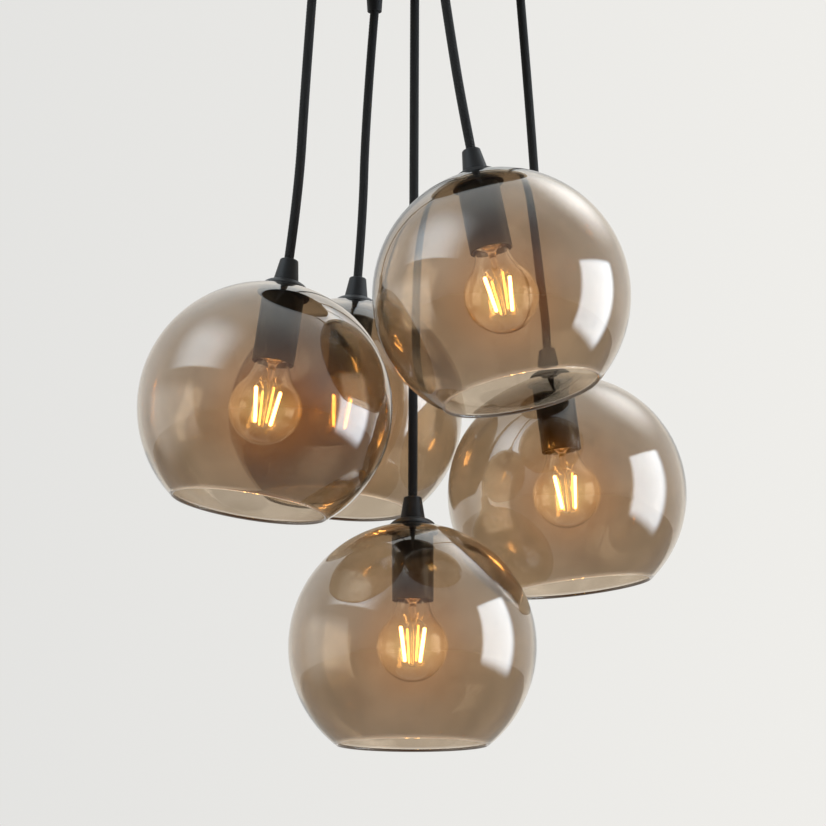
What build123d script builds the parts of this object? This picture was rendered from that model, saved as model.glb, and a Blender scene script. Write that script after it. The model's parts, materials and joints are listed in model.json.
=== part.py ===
"""Cluster pendant light: five smoke glass globes on textile cords under one round canopy.

Millimetres, +Z up. The origin is on the ceiling, at the centre of the ceiling bracket.
Each pendant is built about its own axis, with its heights counted from the middle of its globe.
"""

import os
from dataclasses import dataclass
from math import cos, pi, radians, sin, sqrt, tan

from build123d import *

# Glass globe
globe_diameter = 156.0
globe_wall = 2.2
mouth_diameter = 94.0
neck_hole_diameter = 10.6
rim_round = 0.9

# Canopy cover, a pressed steel cup whose open side meets the ceiling
canopy_diameter = 214.0
canopy_height = 26.0
canopy_wall = 1.2
canopy_edge_round = 5.0
stem_hole_clearance = 0.15

# Outlets of the canopy, one at its centre and four on a circle
outlet_inset = 23.0

# Ceiling bracket, a steel strip with an ear turned down at each end
bracket_width = 16.0
bracket_thickness = 2.0
bracket_ear_height = 18.0
bracket_end_clearance = 1.3
ceiling_hole_spacing = 100.0
ceiling_hole_diameter = 5.2
supply_hole_diameter = 12.0
earth_screw_gap = 18.0

# Screws of the canopy and the bracket
side_screw_diameter = 4.0
side_screw_head_diameter = 8.0
side_screw_head_height = 2.4
side_screw_length = 8.0
side_screw_drop = 11.0
side_screw_slot_width = 1.0
side_screw_slot_depth = 0.9
screw_hole_clearance = 0.2
thread_clearance = 0.03

# Rubber grommet in the supply hole
grommet_bore = 7.0
grommet_flange_diameter = 15.0
grommet_flange_height = 1.5
grommet_clearance = 0.05

# Terminal block under the bracket
block_length = 32.0
block_width = 17.0
block_height = 13.0
block_place = 28.5
block_edge_round = 1.0
pole_pitch = 10.0
wire_hole_diameter = 3.8
wire_hole_depth = 5.0
clamp_screw_diameter = 3.6
clamp_hole_clearance = 0.1
clamp_screw_length = 4.5
clamp_screw_stand = 0.8
clamp_slot_width = 0.6

# Textile cord, and the cores that leave its jacket inside the canopy
cord_diameter = 6.0
core_diameter = 2.4
cord_bore_clearance = 0.2
jacket_bore_clearance = 0.1
cord_seat_clearance = 0.5
jacket_stand = 2.8
jacket_setback = 3.6

# Upper cord grip, under the canopy, with a threaded stem through it
upper_grip_length = 18.0
upper_grip_tip_diameter = 9.8
upper_grip_base_diameter = 11.8
upper_grip_flange_diameter = 15.0
upper_grip_flange_height = 2.0
stem_diameter = 10.0
stem_reach = 5.0
nut_across_flats = 14.0
nut_height = 3.5
nut_clearance = 0.05

# Cap and cord grip on top of each globe
cap_diameter = 28.4
cap_edge_height = 1.0
cap_dome_rise = 3.45
cap_dome_bulge = 0.5
cap_flat_diameter = 17.2
cap_wall = 1.4
cap_edge_width = 1.5
cap_seat_gap = 0.05
grip_length = 13.9
grip_base_diameter = 15.5
grip_top_diameter = 11.4
grip_edge_chamfer = 0.6
grip_thread_depth = 7.3

# Hollow threaded nipple that holds cap, glass and lampholder together
nipple_diameter = 10.0
nipple_bore = 6.8
nipple_stand = 7.0
nipple_setback = 0.5

# Soft seal and clamp washer under the glass
washer_diameter = 32.5
washer_thickness = 1.5
seal_diameter = 30.0
seal_edge_thickness = 0.85
seal_gap = 0.05
hole_clearance = 0.15

# Lampholder sleeve, a plastic cup that hangs mouth down
sleeve_diameter = 26.0
sleeve_wall = 1.4
sleeve_web = 2.0
sleeve_length = 42.9
sleeve_edge_round = 0.6

# Socket inside the sleeve: a hub on the nipple, a ceramic core and a screw shell
socket_diameter = 22.0
socket_wall = 1.5
socket_hub_diameter = 16.0
socket_hub_height = 6.4
socket_height = 22.4
socket_shoulder_drop = 3.9
core_grip = 5.0
core_roof = 1.6
core_gap = 0.1
shell_bore = 14.3
shell_wall = 0.5
shell_length = 13.1
shell_setback = 3.5
spring_diameter = 3.0
spring_height = 1.5
contact_gap = 0.1
contact_drop = 12.4

# Screw cap of the bulb, with its heights counted from the middle of the bulb
thread_diameter = 13.9
thread_root_diameter = 12.7
thread_pitch = 2.82
thread_turns = 4
skirt_bottom = 32.2
skirt_height = 2.0
skirt_top = 36.4
cap_shoulder = 51.0
insulator_diameter = 9.0
insulator_top = 52.6
contact_diameter = 4.4
bulb_reach = 54.0
shell_sheet = 0.4

# Clear bulb, whose neck sits in the skirt of its cap
bulb_diameter = 45.0
bulb_wall = 0.9
bulb_neck_diameter = 20.6
bulb_neck_depth = 1.6
bulb_shoulder_angle = 41.5
neck_gap = 0.05

# Glass stem, filament rods and their wires inside the bulb
stem_flare_height = 33.6
stem_waist_diameter = 5.0
stem_waist_height = 27.0
stem_pinch_diameter = 4.0
stem_pinch_height = 17.0
stem_rod_diameter = 1.4
stem_rod_bottom = -12.6
filament_count = 4
filament_diameter = 1.9
filament_top_radius = 8.6
filament_bottom_radius = 5.0
filament_top = 14.0
filament_bottom = -11.0
wire_diameter = 0.5
wire_overlap = 0.4

# Overrun of the cuts, in every piece
overrun = 1.0

# Heights of a core's first bends over the end of its jacket, and how far they lie from the outlet
core_overlap = 2.0
core_rise = 4.5
core_rise_reach = 0.9
core_bend_rise = 8.0
core_bend_reach = 7.5
core_approach = 8.5
core_insertion = 2.0

# How far a cord reaches past the socket's hub
cord_overreach = 2.0


@dataclass(frozen=True)
class Pendant:
    """Where one pendant hangs and how its cord and core run.

    The outlet's angle and the leans are in degrees, and None is the outlet at the canopy's centre.
    The globe's place and the cord's straight end are in globe diameters, the sideways sway of the
    cord's middle in cord diameters, and the core's bends in canopy radii. The core ends in a pole of
    the terminal block, counted from its middle, on its front (-1) or back (1) side.
    """

    name: str
    outlet_angle: float
    place_shares: tuple
    lean_right: float
    lean_away: float
    filament_turn: float
    straight_share: float
    sway: tuple
    core_bends: tuple
    pole: int
    pole_side: int


left_bends = ((-0.093, -0.290), (0.187, -0.252))
back_bends = ((0.019, 0.336),)
low_bends = ((0.070, -0.150), (0.117, -0.196))
front_bends = ((0.299, -0.355),)
right_bends = ((0.449, 0.271),)
pendants = [
    Pendant(
        "left", -138.3, (-0.587, -0.474, -2.237), -8.5, -1.9, 28, 0.82, (-0.133, -0.017), left_bends, 0, -1
    ),
    Pendant("back", 109.1, (-0.298, 0.478, -2.087), -5.0, -2.9, 40, 0.82, (-0.35, 0.033), back_bends, -1, 1),
    Pendant("low", None, (-0.010, -0.006, -3.122), -0.1, -1.3, 25, 0.833, None, low_bends, -1, -1),
    Pendant(
        "front", -81.6, (0.334, -0.690, -1.837), 10.9, -3.9, 22, 0.75, (-0.075, 0.075), front_bends, 1, -1
    ),
    Pendant("right", 32.5, (0.637, 0.355, -2.446), 6.7, 0.0, 33, 0.82, (0.233, 0.025), right_bends, 1, 1),
]

globe_radius = globe_diameter / 2
cord_radius = cord_diameter / 2
core_radius = core_diameter / 2
nipple_radius = nipple_diameter / 2
grip_exit_height = -(canopy_height + upper_grip_length)
canopy_floor = canopy_wall - canopy_height
outlet_circle_radius = canopy_diameter / 2 - outlet_inset
bracket_half_length = canopy_diameter / 2 - canopy_wall - bracket_end_clearance
earth_place = -ceiling_hole_spacing / 2 - earth_screw_gap


def sphere_height(radius, out):
    """Height of a sphere's surface over its middle, at a distance out from the axis."""
    return sqrt(radius**2 - out**2)


# Heights of the pendant's stack over the middle of its globe
cap_seat = sphere_height(globe_radius, cap_diameter / 2) + cap_seat_gap
cap_top = cap_seat + cap_edge_height + cap_dome_rise
seal_radius = globe_radius - globe_wall - seal_gap
washer_top = sphere_height(seal_radius, seal_diameter / 2) - seal_edge_thickness
washer_bottom = washer_top - washer_thickness
nut_top = washer_bottom - sleeve_web
nut_bottom = nut_top - nut_height
hub_bottom = nut_bottom - socket_hub_height
contact_height = nut_bottom - contact_drop
bulb_middle = contact_height - bulb_reach


def hanging_frame(pendant):
    """Frame of a pendant: its origin is the globe's middle and its Z axis points up the cord."""
    up = Vector(-tan(radians(pendant.lean_right)), -tan(radians(pendant.lean_away)), 1).normalized()
    middle = Vector(*pendant.place_shares) * globe_diameter
    across = Vector(1, 0, 0) - up * up.X
    return Plane(origin=middle, x_dir=across.normalized(), z_dir=up)


def half_section(frame):
    """Plane for a turned profile: X runs out from the frame's axis and Y runs up it."""
    return Plane(origin=frame.origin, x_dir=frame.x_dir, z_dir=-frame.y_dir)


def spin_axis(frame):
    """Axis that a profile on the frame's half section is turned about."""
    return Axis(frame.origin, frame.z_dir)


def turned_ring(frame, inner_radius, outer_radius, bottom, top):
    """Plain ring between two radii and two heights."""
    with BuildPart() as ring:
        with BuildSketch(frame.offset(bottom)):
            Circle(outer_radius)
            Circle(inner_radius, mode=Mode.SUBTRACT)
        extrude(amount=top - bottom)
    return ring.part


def hex_nut(frame, bottom):
    """Hexagon nut whose bore clears the thread that carries it."""
    with BuildPart() as nut:
        with BuildSketch(frame.offset(bottom)):
            RegularPolygon(nut_across_flats / 2, side_count=6, major_radius=False)
            Circle(nipple_radius + nut_clearance, mode=Mode.SUBTRACT)
        extrude(amount=nut_height)
    return nut.part


def straight_rod(start, end, radius):
    """Round rod from one point to another."""
    along = end - start
    with BuildPart() as rod:
        with BuildSketch(Plane(origin=start, z_dir=along.normalized())):
            Circle(radius)
        extrude(amount=along.length)
    return rod.part


def swept_tube(route, radius):
    """Round tube along a route: straight runs joined by tangent arcs, with the arcs' radii."""
    run_share = 0.45
    bends = []
    for before, corner, after in zip(route, route[1:], route[2:]):
        run_in, run_out = corner - before, after - corner
        half_turn = radians(run_in.get_angle(run_out)) / 2
        bends.append(run_share * min(run_in.length, run_out.length) / tan(half_turn))
    with BuildPart() as tube:
        with BuildLine() as path:
            FilletPolyline(*route, radius=bends)
        with BuildSketch(Plane(origin=route[0], z_dir=path.wires()[0] % 0)):
            Circle(radius)
        sweep()
    length = path.wires()[0].length
    return tube.part, length, bends


def make_shade(frame):
    """Blown glass globe with a small hole on top and a wide fire polished mouth below."""
    inner_radius = globe_radius - globe_wall
    hole = neck_hole_diameter / 2
    rim = Vector(mouth_diameter / 2, -sphere_height(globe_radius, mouth_diameter / 2))
    inner_rim = rim * (inner_radius / globe_radius)
    outer_neck = Vector(hole, sphere_height(globe_radius, hole))
    inner_neck = Vector(hole, sphere_height(inner_radius, hole))
    with BuildPart() as shade:
        with BuildSketch(half_section(frame)) as section:
            with BuildLine():
                outside = ThreePointArc(outer_neck, (globe_radius, 0), rim)
                inside = ThreePointArc(inner_rim, (inner_radius, 0), inner_neck)
                Line(outside @ 1, inside @ 0)
                Line(inside @ 1, outside @ 0)
            make_face()
            fillet(section.vertices().sort_by(Axis.Y)[:2], radius=rim_round)
        revolve(axis=spin_axis(frame))
    return shade.part


def make_cap(frame):
    """Domed metal saucer that sits on the globe around the nipple."""
    edge = cap_diameter / 2
    lip = edge - cap_edge_width
    flat = cap_flat_diameter / 2
    hole = nipple_radius + hole_clearance
    lip_seat = sphere_height(globe_radius, lip) + cap_seat_gap
    roof = cap_top - cap_wall
    with BuildPart() as cap:
        with BuildSketch(half_section(frame)):
            with BuildLine():
                dome = SagittaArc((edge, cap_seat + cap_edge_height), (flat, cap_top), -cap_dome_bulge)
                Polyline(
                    dome @ 1,
                    (hole, cap_top),
                    (hole, roof),
                    (flat, roof),
                    (lip, lip_seat),
                    (edge, cap_seat),
                    dome @ 0,
                )
            make_face()
        revolve(axis=spin_axis(frame))
    return cap.part


def make_grip(frame):
    """Conical cord grip that screws on the nipple above the cap."""
    base = grip_base_diameter / 2
    tip = grip_top_diameter / 2
    top = cap_top + grip_length
    shoulder = cap_top + grip_thread_depth
    thread = nipple_radius + nut_clearance
    bore = cord_radius + cord_bore_clearance
    with BuildPart() as grip:
        with BuildSketch(half_section(frame)):
            with BuildLine():
                Polyline(
                    (thread, cap_top),
                    (base, cap_top),
                    (base, cap_top + grip_edge_chamfer),
                    (tip, top - grip_edge_chamfer),
                    (tip - grip_edge_chamfer, top),
                    (bore, top),
                    (bore, shoulder),
                    (thread, shoulder),
                    close=True,
                )
            make_face()
        revolve(axis=spin_axis(frame))
    return grip.part


def make_fixings(frame):
    """Nipple, nut, clamp washer and seal: the stack that holds one globe."""
    hole = nipple_radius + hole_clearance
    seal_edge = seal_diameter / 2
    nipple_bottom = hub_bottom + nipple_setback
    nipple = turned_ring(frame, nipple_bore / 2, nipple_radius, nipple_bottom, cap_top + nipple_stand)
    washer = turned_ring(frame, hole, washer_diameter / 2, washer_bottom, washer_top)
    with BuildPart() as seal:
        with BuildSketch(half_section(frame)):
            with BuildLine():
                crown = RadiusArc(
                    (hole, sphere_height(seal_radius, hole)),
                    (seal_edge, sphere_height(seal_radius, seal_edge)),
                    seal_radius,
                )
                Polyline(crown @ 1, (seal_edge, washer_top), (hole, washer_top), crown @ 0)
            make_face()
        revolve(axis=spin_axis(frame))
    return [nipple, washer, seal.part, hex_nut(frame, nut_bottom)]


def make_sleeve(frame):
    """Lampholder sleeve: a tube with a web at its top, clamped between washer and nut."""
    outer = sleeve_diameter / 2
    inner = outer - sleeve_wall
    mouth = washer_bottom - sleeve_length
    hole = nipple_radius + hole_clearance
    with BuildPart() as sleeve:
        with BuildSketch(half_section(frame)) as section:
            with BuildLine():
                Polyline(
                    (hole, washer_bottom),
                    (outer, washer_bottom),
                    (outer, mouth),
                    (inner, mouth),
                    (inner, nut_top),
                    (hole, nut_top),
                    close=True,
                )
            make_face()
            fillet(section.vertices().sort_by(Axis.Y)[:2], radius=sleeve_edge_round)
        revolve(axis=spin_axis(frame))
    return sleeve.part


def make_socket(frame):
    """Socket base on the nipple, its ceramic core, screw shell and contact spring."""
    outer = socket_diameter / 2
    inner = outer - socket_wall
    hub = socket_hub_diameter / 2
    thread = nipple_radius + nut_clearance
    shoulder = nut_bottom - socket_shoulder_drop
    mouth = nut_bottom - socket_height
    with BuildPart() as base:
        with BuildSketch(half_section(frame)):
            with BuildLine():
                Polyline(
                    (thread, nut_bottom),
                    (hub, nut_bottom),
                    (hub, shoulder),
                    (outer, shoulder),
                    (outer, mouth),
                    (inner, mouth),
                    (inner, hub_bottom),
                    (thread, hub_bottom),
                    close=True,
                )
            make_face()
        revolve(axis=spin_axis(frame))
    core_edge = inner - core_gap
    shell_inner = shell_bore / 2
    shell_outer = shell_inner + shell_wall
    shell_top = contact_height - shell_setback
    spring_foot = contact_height + contact_gap
    ceiling = spring_foot + spring_height
    with BuildPart() as core:
        with BuildSketch(half_section(frame)):
            with BuildLine():
                Polyline(
                    (0, ceiling + core_roof),
                    (core_edge, ceiling + core_roof),
                    (core_edge, shell_top - core_grip),
                    (shell_outer, shell_top - core_grip),
                    (shell_outer, shell_top),
                    (shell_inner, shell_top),
                    (shell_inner, ceiling),
                    (0, ceiling),
                    close=True,
                )
            make_face()
        revolve(axis=spin_axis(frame))
    shell = turned_ring(frame, shell_inner, shell_outer, shell_top - shell_length, shell_top)
    with BuildPart() as spring:
        with BuildSketch(frame.offset(spring_foot)):
            Circle(spring_diameter / 2)
        extrude(amount=spring_height)
    return [base.part, core.part, shell, spring.part]


def thread_outline():
    """Crests and roots of the bulb cap's rolled thread, from the skirt up to the shoulder."""
    crest = thread_diameter / 2
    root = thread_root_diameter / 2
    points = []
    for turn in range(thread_turns):
        foot = skirt_top + turn * thread_pitch
        points += [(crest, foot), (root, foot + thread_pitch / 2)]
    return points + [(crest, skirt_top + thread_turns * thread_pitch), (root, cap_shoulder)]


def make_bulb_cap(frame):
    """Thin screw shell with the skirt that holds the glass, and its insulator and contact."""
    socket_of_neck = bulb_neck_diameter / 2 + neck_gap
    skirt = socket_of_neck + shell_sheet
    shell_inner = thread_root_diameter / 2 - shell_sheet
    with BuildPart() as cap:
        with BuildSketch(half_section(frame)):
            with BuildLine():
                Polyline(
                    (socket_of_neck, skirt_bottom),
                    (skirt, skirt_bottom),
                    (skirt, skirt_bottom + skirt_height),
                    *thread_outline(),
                    (insulator_diameter / 2, insulator_top),
                    (0, insulator_top),
                    (0, insulator_top - shell_sheet),
                    (shell_inner, cap_shoulder - shell_sheet),
                    (shell_inner, skirt_top),
                    (socket_of_neck, skirt_bottom + skirt_height),
                    close=True,
                )
            make_face()
        revolve(axis=spin_axis(frame))
        with BuildSketch(frame.offset(insulator_top)):
            Circle(contact_diameter / 2)
        extrude(amount=bulb_reach - insulator_top)
    return cap.part


def bulb_outline(inset):
    """Sphere, shoulder arc and neck of the bulb, moved in by an inset, as one open line."""
    radius = bulb_diameter / 2 - inset
    neck = bulb_neck_diameter / 2 - inset
    turn = radians(bulb_shoulder_angle)
    shoulder = Vector(radius * cos(turn), radius * sin(turn))
    belly = ThreePointArc((0, -radius), (radius * cos(turn / 2), -radius * sin(turn / 2)), shoulder)
    throat = TangentArc(shoulder, (neck, skirt_bottom), tangent=belly % 1)
    straight = Line(throat @ 1, (neck, skirt_bottom + bulb_neck_depth))
    return belly, straight


def make_bulb_glass(frame):
    """Thin clear bulb, open at the neck where its cap closes it."""
    with BuildPart() as glass:
        with BuildSketch(half_section(frame)):
            with BuildLine():
                outer_belly, outer_neck = bulb_outline(0)
                inner_belly, inner_neck = bulb_outline(bulb_wall)
                Line(outer_neck @ 1, inner_neck @ 1)
                Line(inner_belly @ 0, outer_belly @ 0)
            make_face()
        revolve(axis=spin_axis(frame))
    return glass.part


def make_filaments(frame, first_angle):
    """Glass stem with its centre rod, the filament rods around it and their wires."""
    flare = bulb_neck_diameter / 2 - bulb_wall - neck_gap
    rod = stem_rod_diameter / 2
    wire = wire_diameter / 2
    with BuildPart() as filaments:
        with BuildSketch(half_section(frame)):
            with BuildLine():
                Polyline(
                    (0, stem_flare_height),
                    (flare, stem_flare_height),
                    (stem_waist_diameter / 2, stem_waist_height),
                    (stem_pinch_diameter / 2, stem_pinch_height),
                    (rod, stem_pinch_height),
                    (rod, stem_rod_bottom),
                    (0, stem_rod_bottom),
                    close=True,
                )
            make_face()
        revolve(axis=spin_axis(frame))
        for index in range(filament_count):
            angle = radians(first_angle + index * 360 / filament_count)
            out = frame.x_dir * cos(angle) + frame.y_dir * sin(angle)
            high = frame.origin + out * filament_top_radius + frame.z_dir * filament_top
            low = frame.origin + out * filament_bottom_radius + frame.z_dir * filament_bottom
            lead_out = stem_pinch_diameter / 2 - wire_overlap
            lead = frame.origin + out * lead_out + frame.z_dir * (stem_pinch_height + wire)
            hook = frame.origin + frame.z_dir * (stem_rod_bottom + wire_diameter)
            add(straight_rod(low, high, filament_diameter / 2))
            add(straight_rod(high, lead, wire))
            add(straight_rod(hook, low, wire))
    return filaments.part


def cord_route(pendant):
    """Route of a cord: out of the canopy's grip, past its swayed middle, then straight down its axis."""
    frame = hanging_frame(pendant)
    start = Vector(*outlet_place(pendant), grip_exit_height)
    bend = frame.origin + frame.z_dir * (pendant.straight_share * globe_diameter)
    foot = frame.origin + frame.z_dir * (hub_bottom - cord_overreach)
    if pendant.sway is None:
        return [start, bend, foot]
    return [start, (start + bend) / 2 + Vector(*pendant.sway) * cord_diameter, bend, foot]


def core_route(pendant):
    """Route of a core: up out of its jacket, over to the terminal block and into one pole's hole."""
    outlet = Vector(*outlet_place(pendant))
    jacket_top = canopy_floor + stem_reach + jacket_stand
    wire_height = -bracket_thickness - block_height / 2
    bends = [Vector(*place) * (canopy_diameter / 2) for place in pendant.core_bends]
    toward = (bends[0] - outlet).normalized()
    pole = block_place + pendant.pole * pole_pitch
    side = pendant.pole_side * block_width / 2
    flat_run = [
        *bends,
        Vector(pole, side + pendant.pole_side * core_approach),
        Vector(pole, side - pendant.pole_side * core_insertion),
    ]
    up = Vector(0, 0, 1)
    return [
        outlet + up * (jacket_top - core_overlap),
        outlet + toward * core_rise_reach + up * (jacket_top + core_rise),
        outlet + toward * core_bend_reach + up * (jacket_top + core_bend_rise),
        *[place + up * wire_height for place in flat_run],
    ]


def make_cord(route):
    """Textile cord with a round upper end that turns in the seat of the canopy's grip."""
    tube, length, bends = swept_tube(route, cord_radius)
    start = route[0]
    along = (route[1] - start).normalized()
    with BuildPart() as cord:
        add(tube)
        with Locations(Plane(origin=start, z_dir=along)):
            Sphere(cord_radius, arc_size2=0, align=(Align.CENTER, Align.CENTER, Align.MAX))
    return cord.part, length, bends


def outlet_place(pendant):
    """Place of a pendant's outlet on the canopy's floor, seen from above."""
    if pendant.outlet_angle is None:
        return 0, 0
    angle = radians(pendant.outlet_angle)
    return outlet_circle_radius * cos(angle), outlet_circle_radius * sin(angle)


def make_upper_grip(place):
    """Slim cord grip under the canopy, with a round seat at its tip and a stem through the floor."""
    frame = Plane(origin=(place[0], place[1], grip_exit_height))
    tip = upper_grip_tip_diameter / 2
    base = upper_grip_base_diameter / 2
    flange = upper_grip_flange_diameter / 2
    bore = cord_radius + jacket_bore_clearance
    seat = cord_radius + cord_seat_clearance
    flange_foot = upper_grip_length - upper_grip_flange_height
    stem_top = upper_grip_length + canopy_wall + stem_reach
    with BuildPart() as grip:
        with BuildSketch(half_section(frame)):
            with BuildLine():
                Polyline(
                    (bore, 0),
                    (tip, 0),
                    (base, flange_foot),
                    (flange, flange_foot),
                    (flange, upper_grip_length),
                    (stem_diameter / 2, upper_grip_length),
                    (stem_diameter / 2, stem_top),
                    (bore, stem_top),
                    close=True,
                )
            make_face()
        revolve(axis=spin_axis(frame))
        with Locations(frame):
            Sphere(seat, mode=Mode.SUBTRACT)
    return grip.part


def make_canopy():
    """Round steel cup with a hole for each grip and two for the side screws."""
    stem_hole = stem_diameter / 2 + stem_hole_clearance
    screw_hole = side_screw_diameter / 2 + screw_hole_clearance
    with BuildPart() as canopy:
        with BuildSketch(Plane.XY.offset(-canopy_height)):
            Circle(canopy_diameter / 2)
        extrude(amount=canopy_height)
        fillet(canopy.edges().sort_by(Axis.Z)[0], radius=canopy_edge_round)
        offset(amount=-canopy_wall, openings=canopy.faces().sort_by(Axis.Z)[-1])
        with BuildSketch(Plane.XY.offset(-canopy_height - overrun)):
            with Locations(*[outlet_place(pendant) for pendant in pendants]):
                Circle(stem_hole)
        extrude(amount=canopy_wall + 2 * overrun, mode=Mode.SUBTRACT)
        with BuildSketch(Plane.YZ.offset(-canopy_diameter)):
            with Locations((0, -side_screw_drop)):
                Circle(screw_hole)
        extrude(amount=2 * canopy_diameter, mode=Mode.SUBTRACT)
    return canopy.part


def make_bracket():
    """Steel strip on the ceiling with two fixing holes, a supply hole and two tapped ears."""
    with BuildPart() as bracket:
        with BuildSketch(Plane.XZ.offset(-bracket_width / 2)):
            with BuildLine():
                Polyline(
                    (-bracket_half_length, -bracket_ear_height),
                    (-bracket_half_length, 0),
                    (bracket_half_length, 0),
                    (bracket_half_length, -bracket_ear_height),
                    (bracket_half_length - bracket_thickness, -bracket_ear_height),
                    (bracket_half_length - bracket_thickness, -bracket_thickness),
                    (bracket_thickness - bracket_half_length, -bracket_thickness),
                    (bracket_thickness - bracket_half_length, -bracket_ear_height),
                    close=True,
                )
            make_face()
        extrude(amount=bracket_width)
        bends = bracket.edges().filter_by(Axis.Y).group_by(Axis.Z)
        fillet(bends[-1], radius=bracket_thickness)
        fillet(bends[-2], radius=bracket_thickness / 2)
        with BuildSketch(Plane.XY):
            with Locations((-ceiling_hole_spacing / 2, 0), (ceiling_hole_spacing / 2, 0)):
                Circle(ceiling_hole_diameter / 2)
            Circle(supply_hole_diameter / 2)
            with Locations((earth_place, 0)):
                Circle(side_screw_diameter / 2 + thread_clearance)
        extrude(amount=-bracket_thickness, mode=Mode.SUBTRACT)
        with BuildSketch(Plane.YZ.offset(-canopy_diameter)):
            with Locations((0, -side_screw_drop)):
                Circle(side_screw_diameter / 2 + thread_clearance)
        extrude(amount=2 * canopy_diameter, mode=Mode.SUBTRACT)
    return bracket.part


def slotted_screw(head_plane, shank_length):
    """Pan head screw with a driver slot: the plane lies under its head, and Z runs out of it."""
    with BuildPart() as screw:
        with BuildSketch(head_plane):
            Circle(side_screw_head_diameter / 2)
        extrude(amount=side_screw_head_height)
        rim = screw.edges().sort_by(Axis(head_plane.origin, head_plane.z_dir))[-1]
        chamfer(rim, length=side_screw_head_height / 4)
        with BuildSketch(head_plane.offset(side_screw_head_height)):
            Rectangle(side_screw_head_diameter + overrun, side_screw_slot_width)
        extrude(amount=-side_screw_slot_depth, mode=Mode.SUBTRACT)
        with BuildSketch(head_plane):
            Circle(side_screw_diameter / 2)
        extrude(amount=-shank_length)
    return screw.part


def make_grommet():
    """Rubber bush in the supply hole, with a flange under the bracket."""
    bore = grommet_bore / 2
    sleeve = supply_hole_diameter / 2 - grommet_clearance
    flange_bottom = -bracket_thickness - grommet_flange_height
    with BuildPart() as grommet:
        with BuildSketch(Plane.XZ):
            with BuildLine():
                Polyline(
                    (bore, 0),
                    (sleeve, 0),
                    (sleeve, -bracket_thickness),
                    (grommet_flange_diameter / 2, -bracket_thickness),
                    (grommet_flange_diameter / 2, flange_bottom),
                    (bore, flange_bottom),
                    close=True,
                )
            make_face()
        revolve(axis=Axis.Z)
    return grommet.part


def pole_places():
    """Distances along the bracket of the terminal block's three poles."""
    return [block_place + step * pole_pitch for step in (-1, 0, 1)]


def make_block():
    """Three pole terminal block with a wire hole on each side of every pole."""
    block_top = -bracket_thickness
    block_bottom = block_top - block_height
    clamp_hole = clamp_screw_diameter / 2 + clamp_hole_clearance
    with BuildPart() as block:
        with BuildSketch(Plane.XY.offset(block_bottom)):
            with Locations((block_place, 0)):
                RectangleRounded(block_length, block_width, block_edge_round)
        extrude(amount=block_height)
        wire_height = block_top - block_height / 2
        for side in (Plane.XZ.offset(-block_width / 2), Plane.XZ.offset(block_width / 2)):
            inward = wire_hole_depth if side.origin.Y > 0 else -wire_hole_depth
            with BuildSketch(side):
                with Locations(*[(place, wire_height) for place in pole_places()]):
                    Circle(wire_hole_diameter / 2)
            extrude(amount=inward, mode=Mode.SUBTRACT)
        with BuildSketch(Plane.XY.offset(block_bottom)):
            with Locations(*clamp_places()):
                Circle(clamp_hole)
        extrude(amount=clamp_screw_length - clamp_screw_stand, mode=Mode.SUBTRACT)
    return block.part


def clamp_places():
    """Places of the six clamp screws, two over each pole."""
    row = block_width / 4
    return [(place, side * row) for place in pole_places() for side in (-1, 1)]


def make_clamp_screw(place):
    """Small slotted screw that holds one wire in the block."""
    screw_bottom = -bracket_thickness - block_height - clamp_screw_stand
    with BuildPart() as screw:
        with BuildSketch(Plane.XY.offset(screw_bottom)):
            with Locations(place):
                Circle(clamp_screw_diameter / 2)
        extrude(amount=clamp_screw_length)
        with BuildSketch(Plane.XY.offset(screw_bottom)):
            with Locations(place):
                Rectangle(clamp_screw_diameter + overrun, clamp_slot_width)
        extrude(amount=clamp_slot_width, mode=Mode.SUBTRACT)
    return screw.part


def make_lead(pendant):
    """End of one cord inside the canopy: its jacket in the grip, then its bared core."""
    place = outlet_place(pendant)
    core, length, bends = swept_tube(core_route(pendant), core_radius)
    print(pendant.name, "core", round(length, 1), "radii", [round(bend, 1) for bend in bends])
    jacket_bottom = grip_exit_height + jacket_setback
    jacket_top = canopy_floor + stem_reach + jacket_stand
    with BuildPart() as lead:
        with BuildSketch(Plane(origin=(place[0], place[1], jacket_bottom))):
            Circle(cord_radius)
        extrude(amount=jacket_top - jacket_bottom)
        add(core)
    return lead.part


def save(name, pieces):
    """Write one node as a STEP file: a single solid, or a group of separate solids."""
    solids = pieces if isinstance(pieces, list) else [pieces]
    node = solids[0] if len(solids) == 1 else Compound(children=solids)
    node.label = name
    export_step(node, f"parts/{name}.step")


def build_canopy_group():
    """The pieces that stay on the ceiling."""
    places = [outlet_place(pendant) for pendant in pendants]
    side_planes = [
        Plane(origin=(side * canopy_diameter / 2, 0, -side_screw_drop), z_dir=(side, 0, 0))
        for side in (-1, 1)
    ]
    earth_plane = Plane(origin=(earth_place, 0, -bracket_thickness), z_dir=(0, 0, -1))
    save("canopy_cover", make_canopy())
    save("ceiling_bracket", make_bracket())
    save("canopy_screws", [slotted_screw(plane, side_screw_length) for plane in side_planes])
    save("earth_screw", slotted_screw(earth_plane, bracket_thickness))
    save("supply_grommet", make_grommet())
    save("terminal_block", make_block())
    save("terminal_screws", [make_clamp_screw(place) for place in clamp_places()])
    save("upper_cord_grips", [make_upper_grip(place) for place in places])
    save("grip_nuts", [hex_nut(Plane(origin=(place[0], place[1], canopy_floor)), 0) for place in places])
    save("canopy_leads", [make_lead(pendant) for pendant in pendants])


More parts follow.
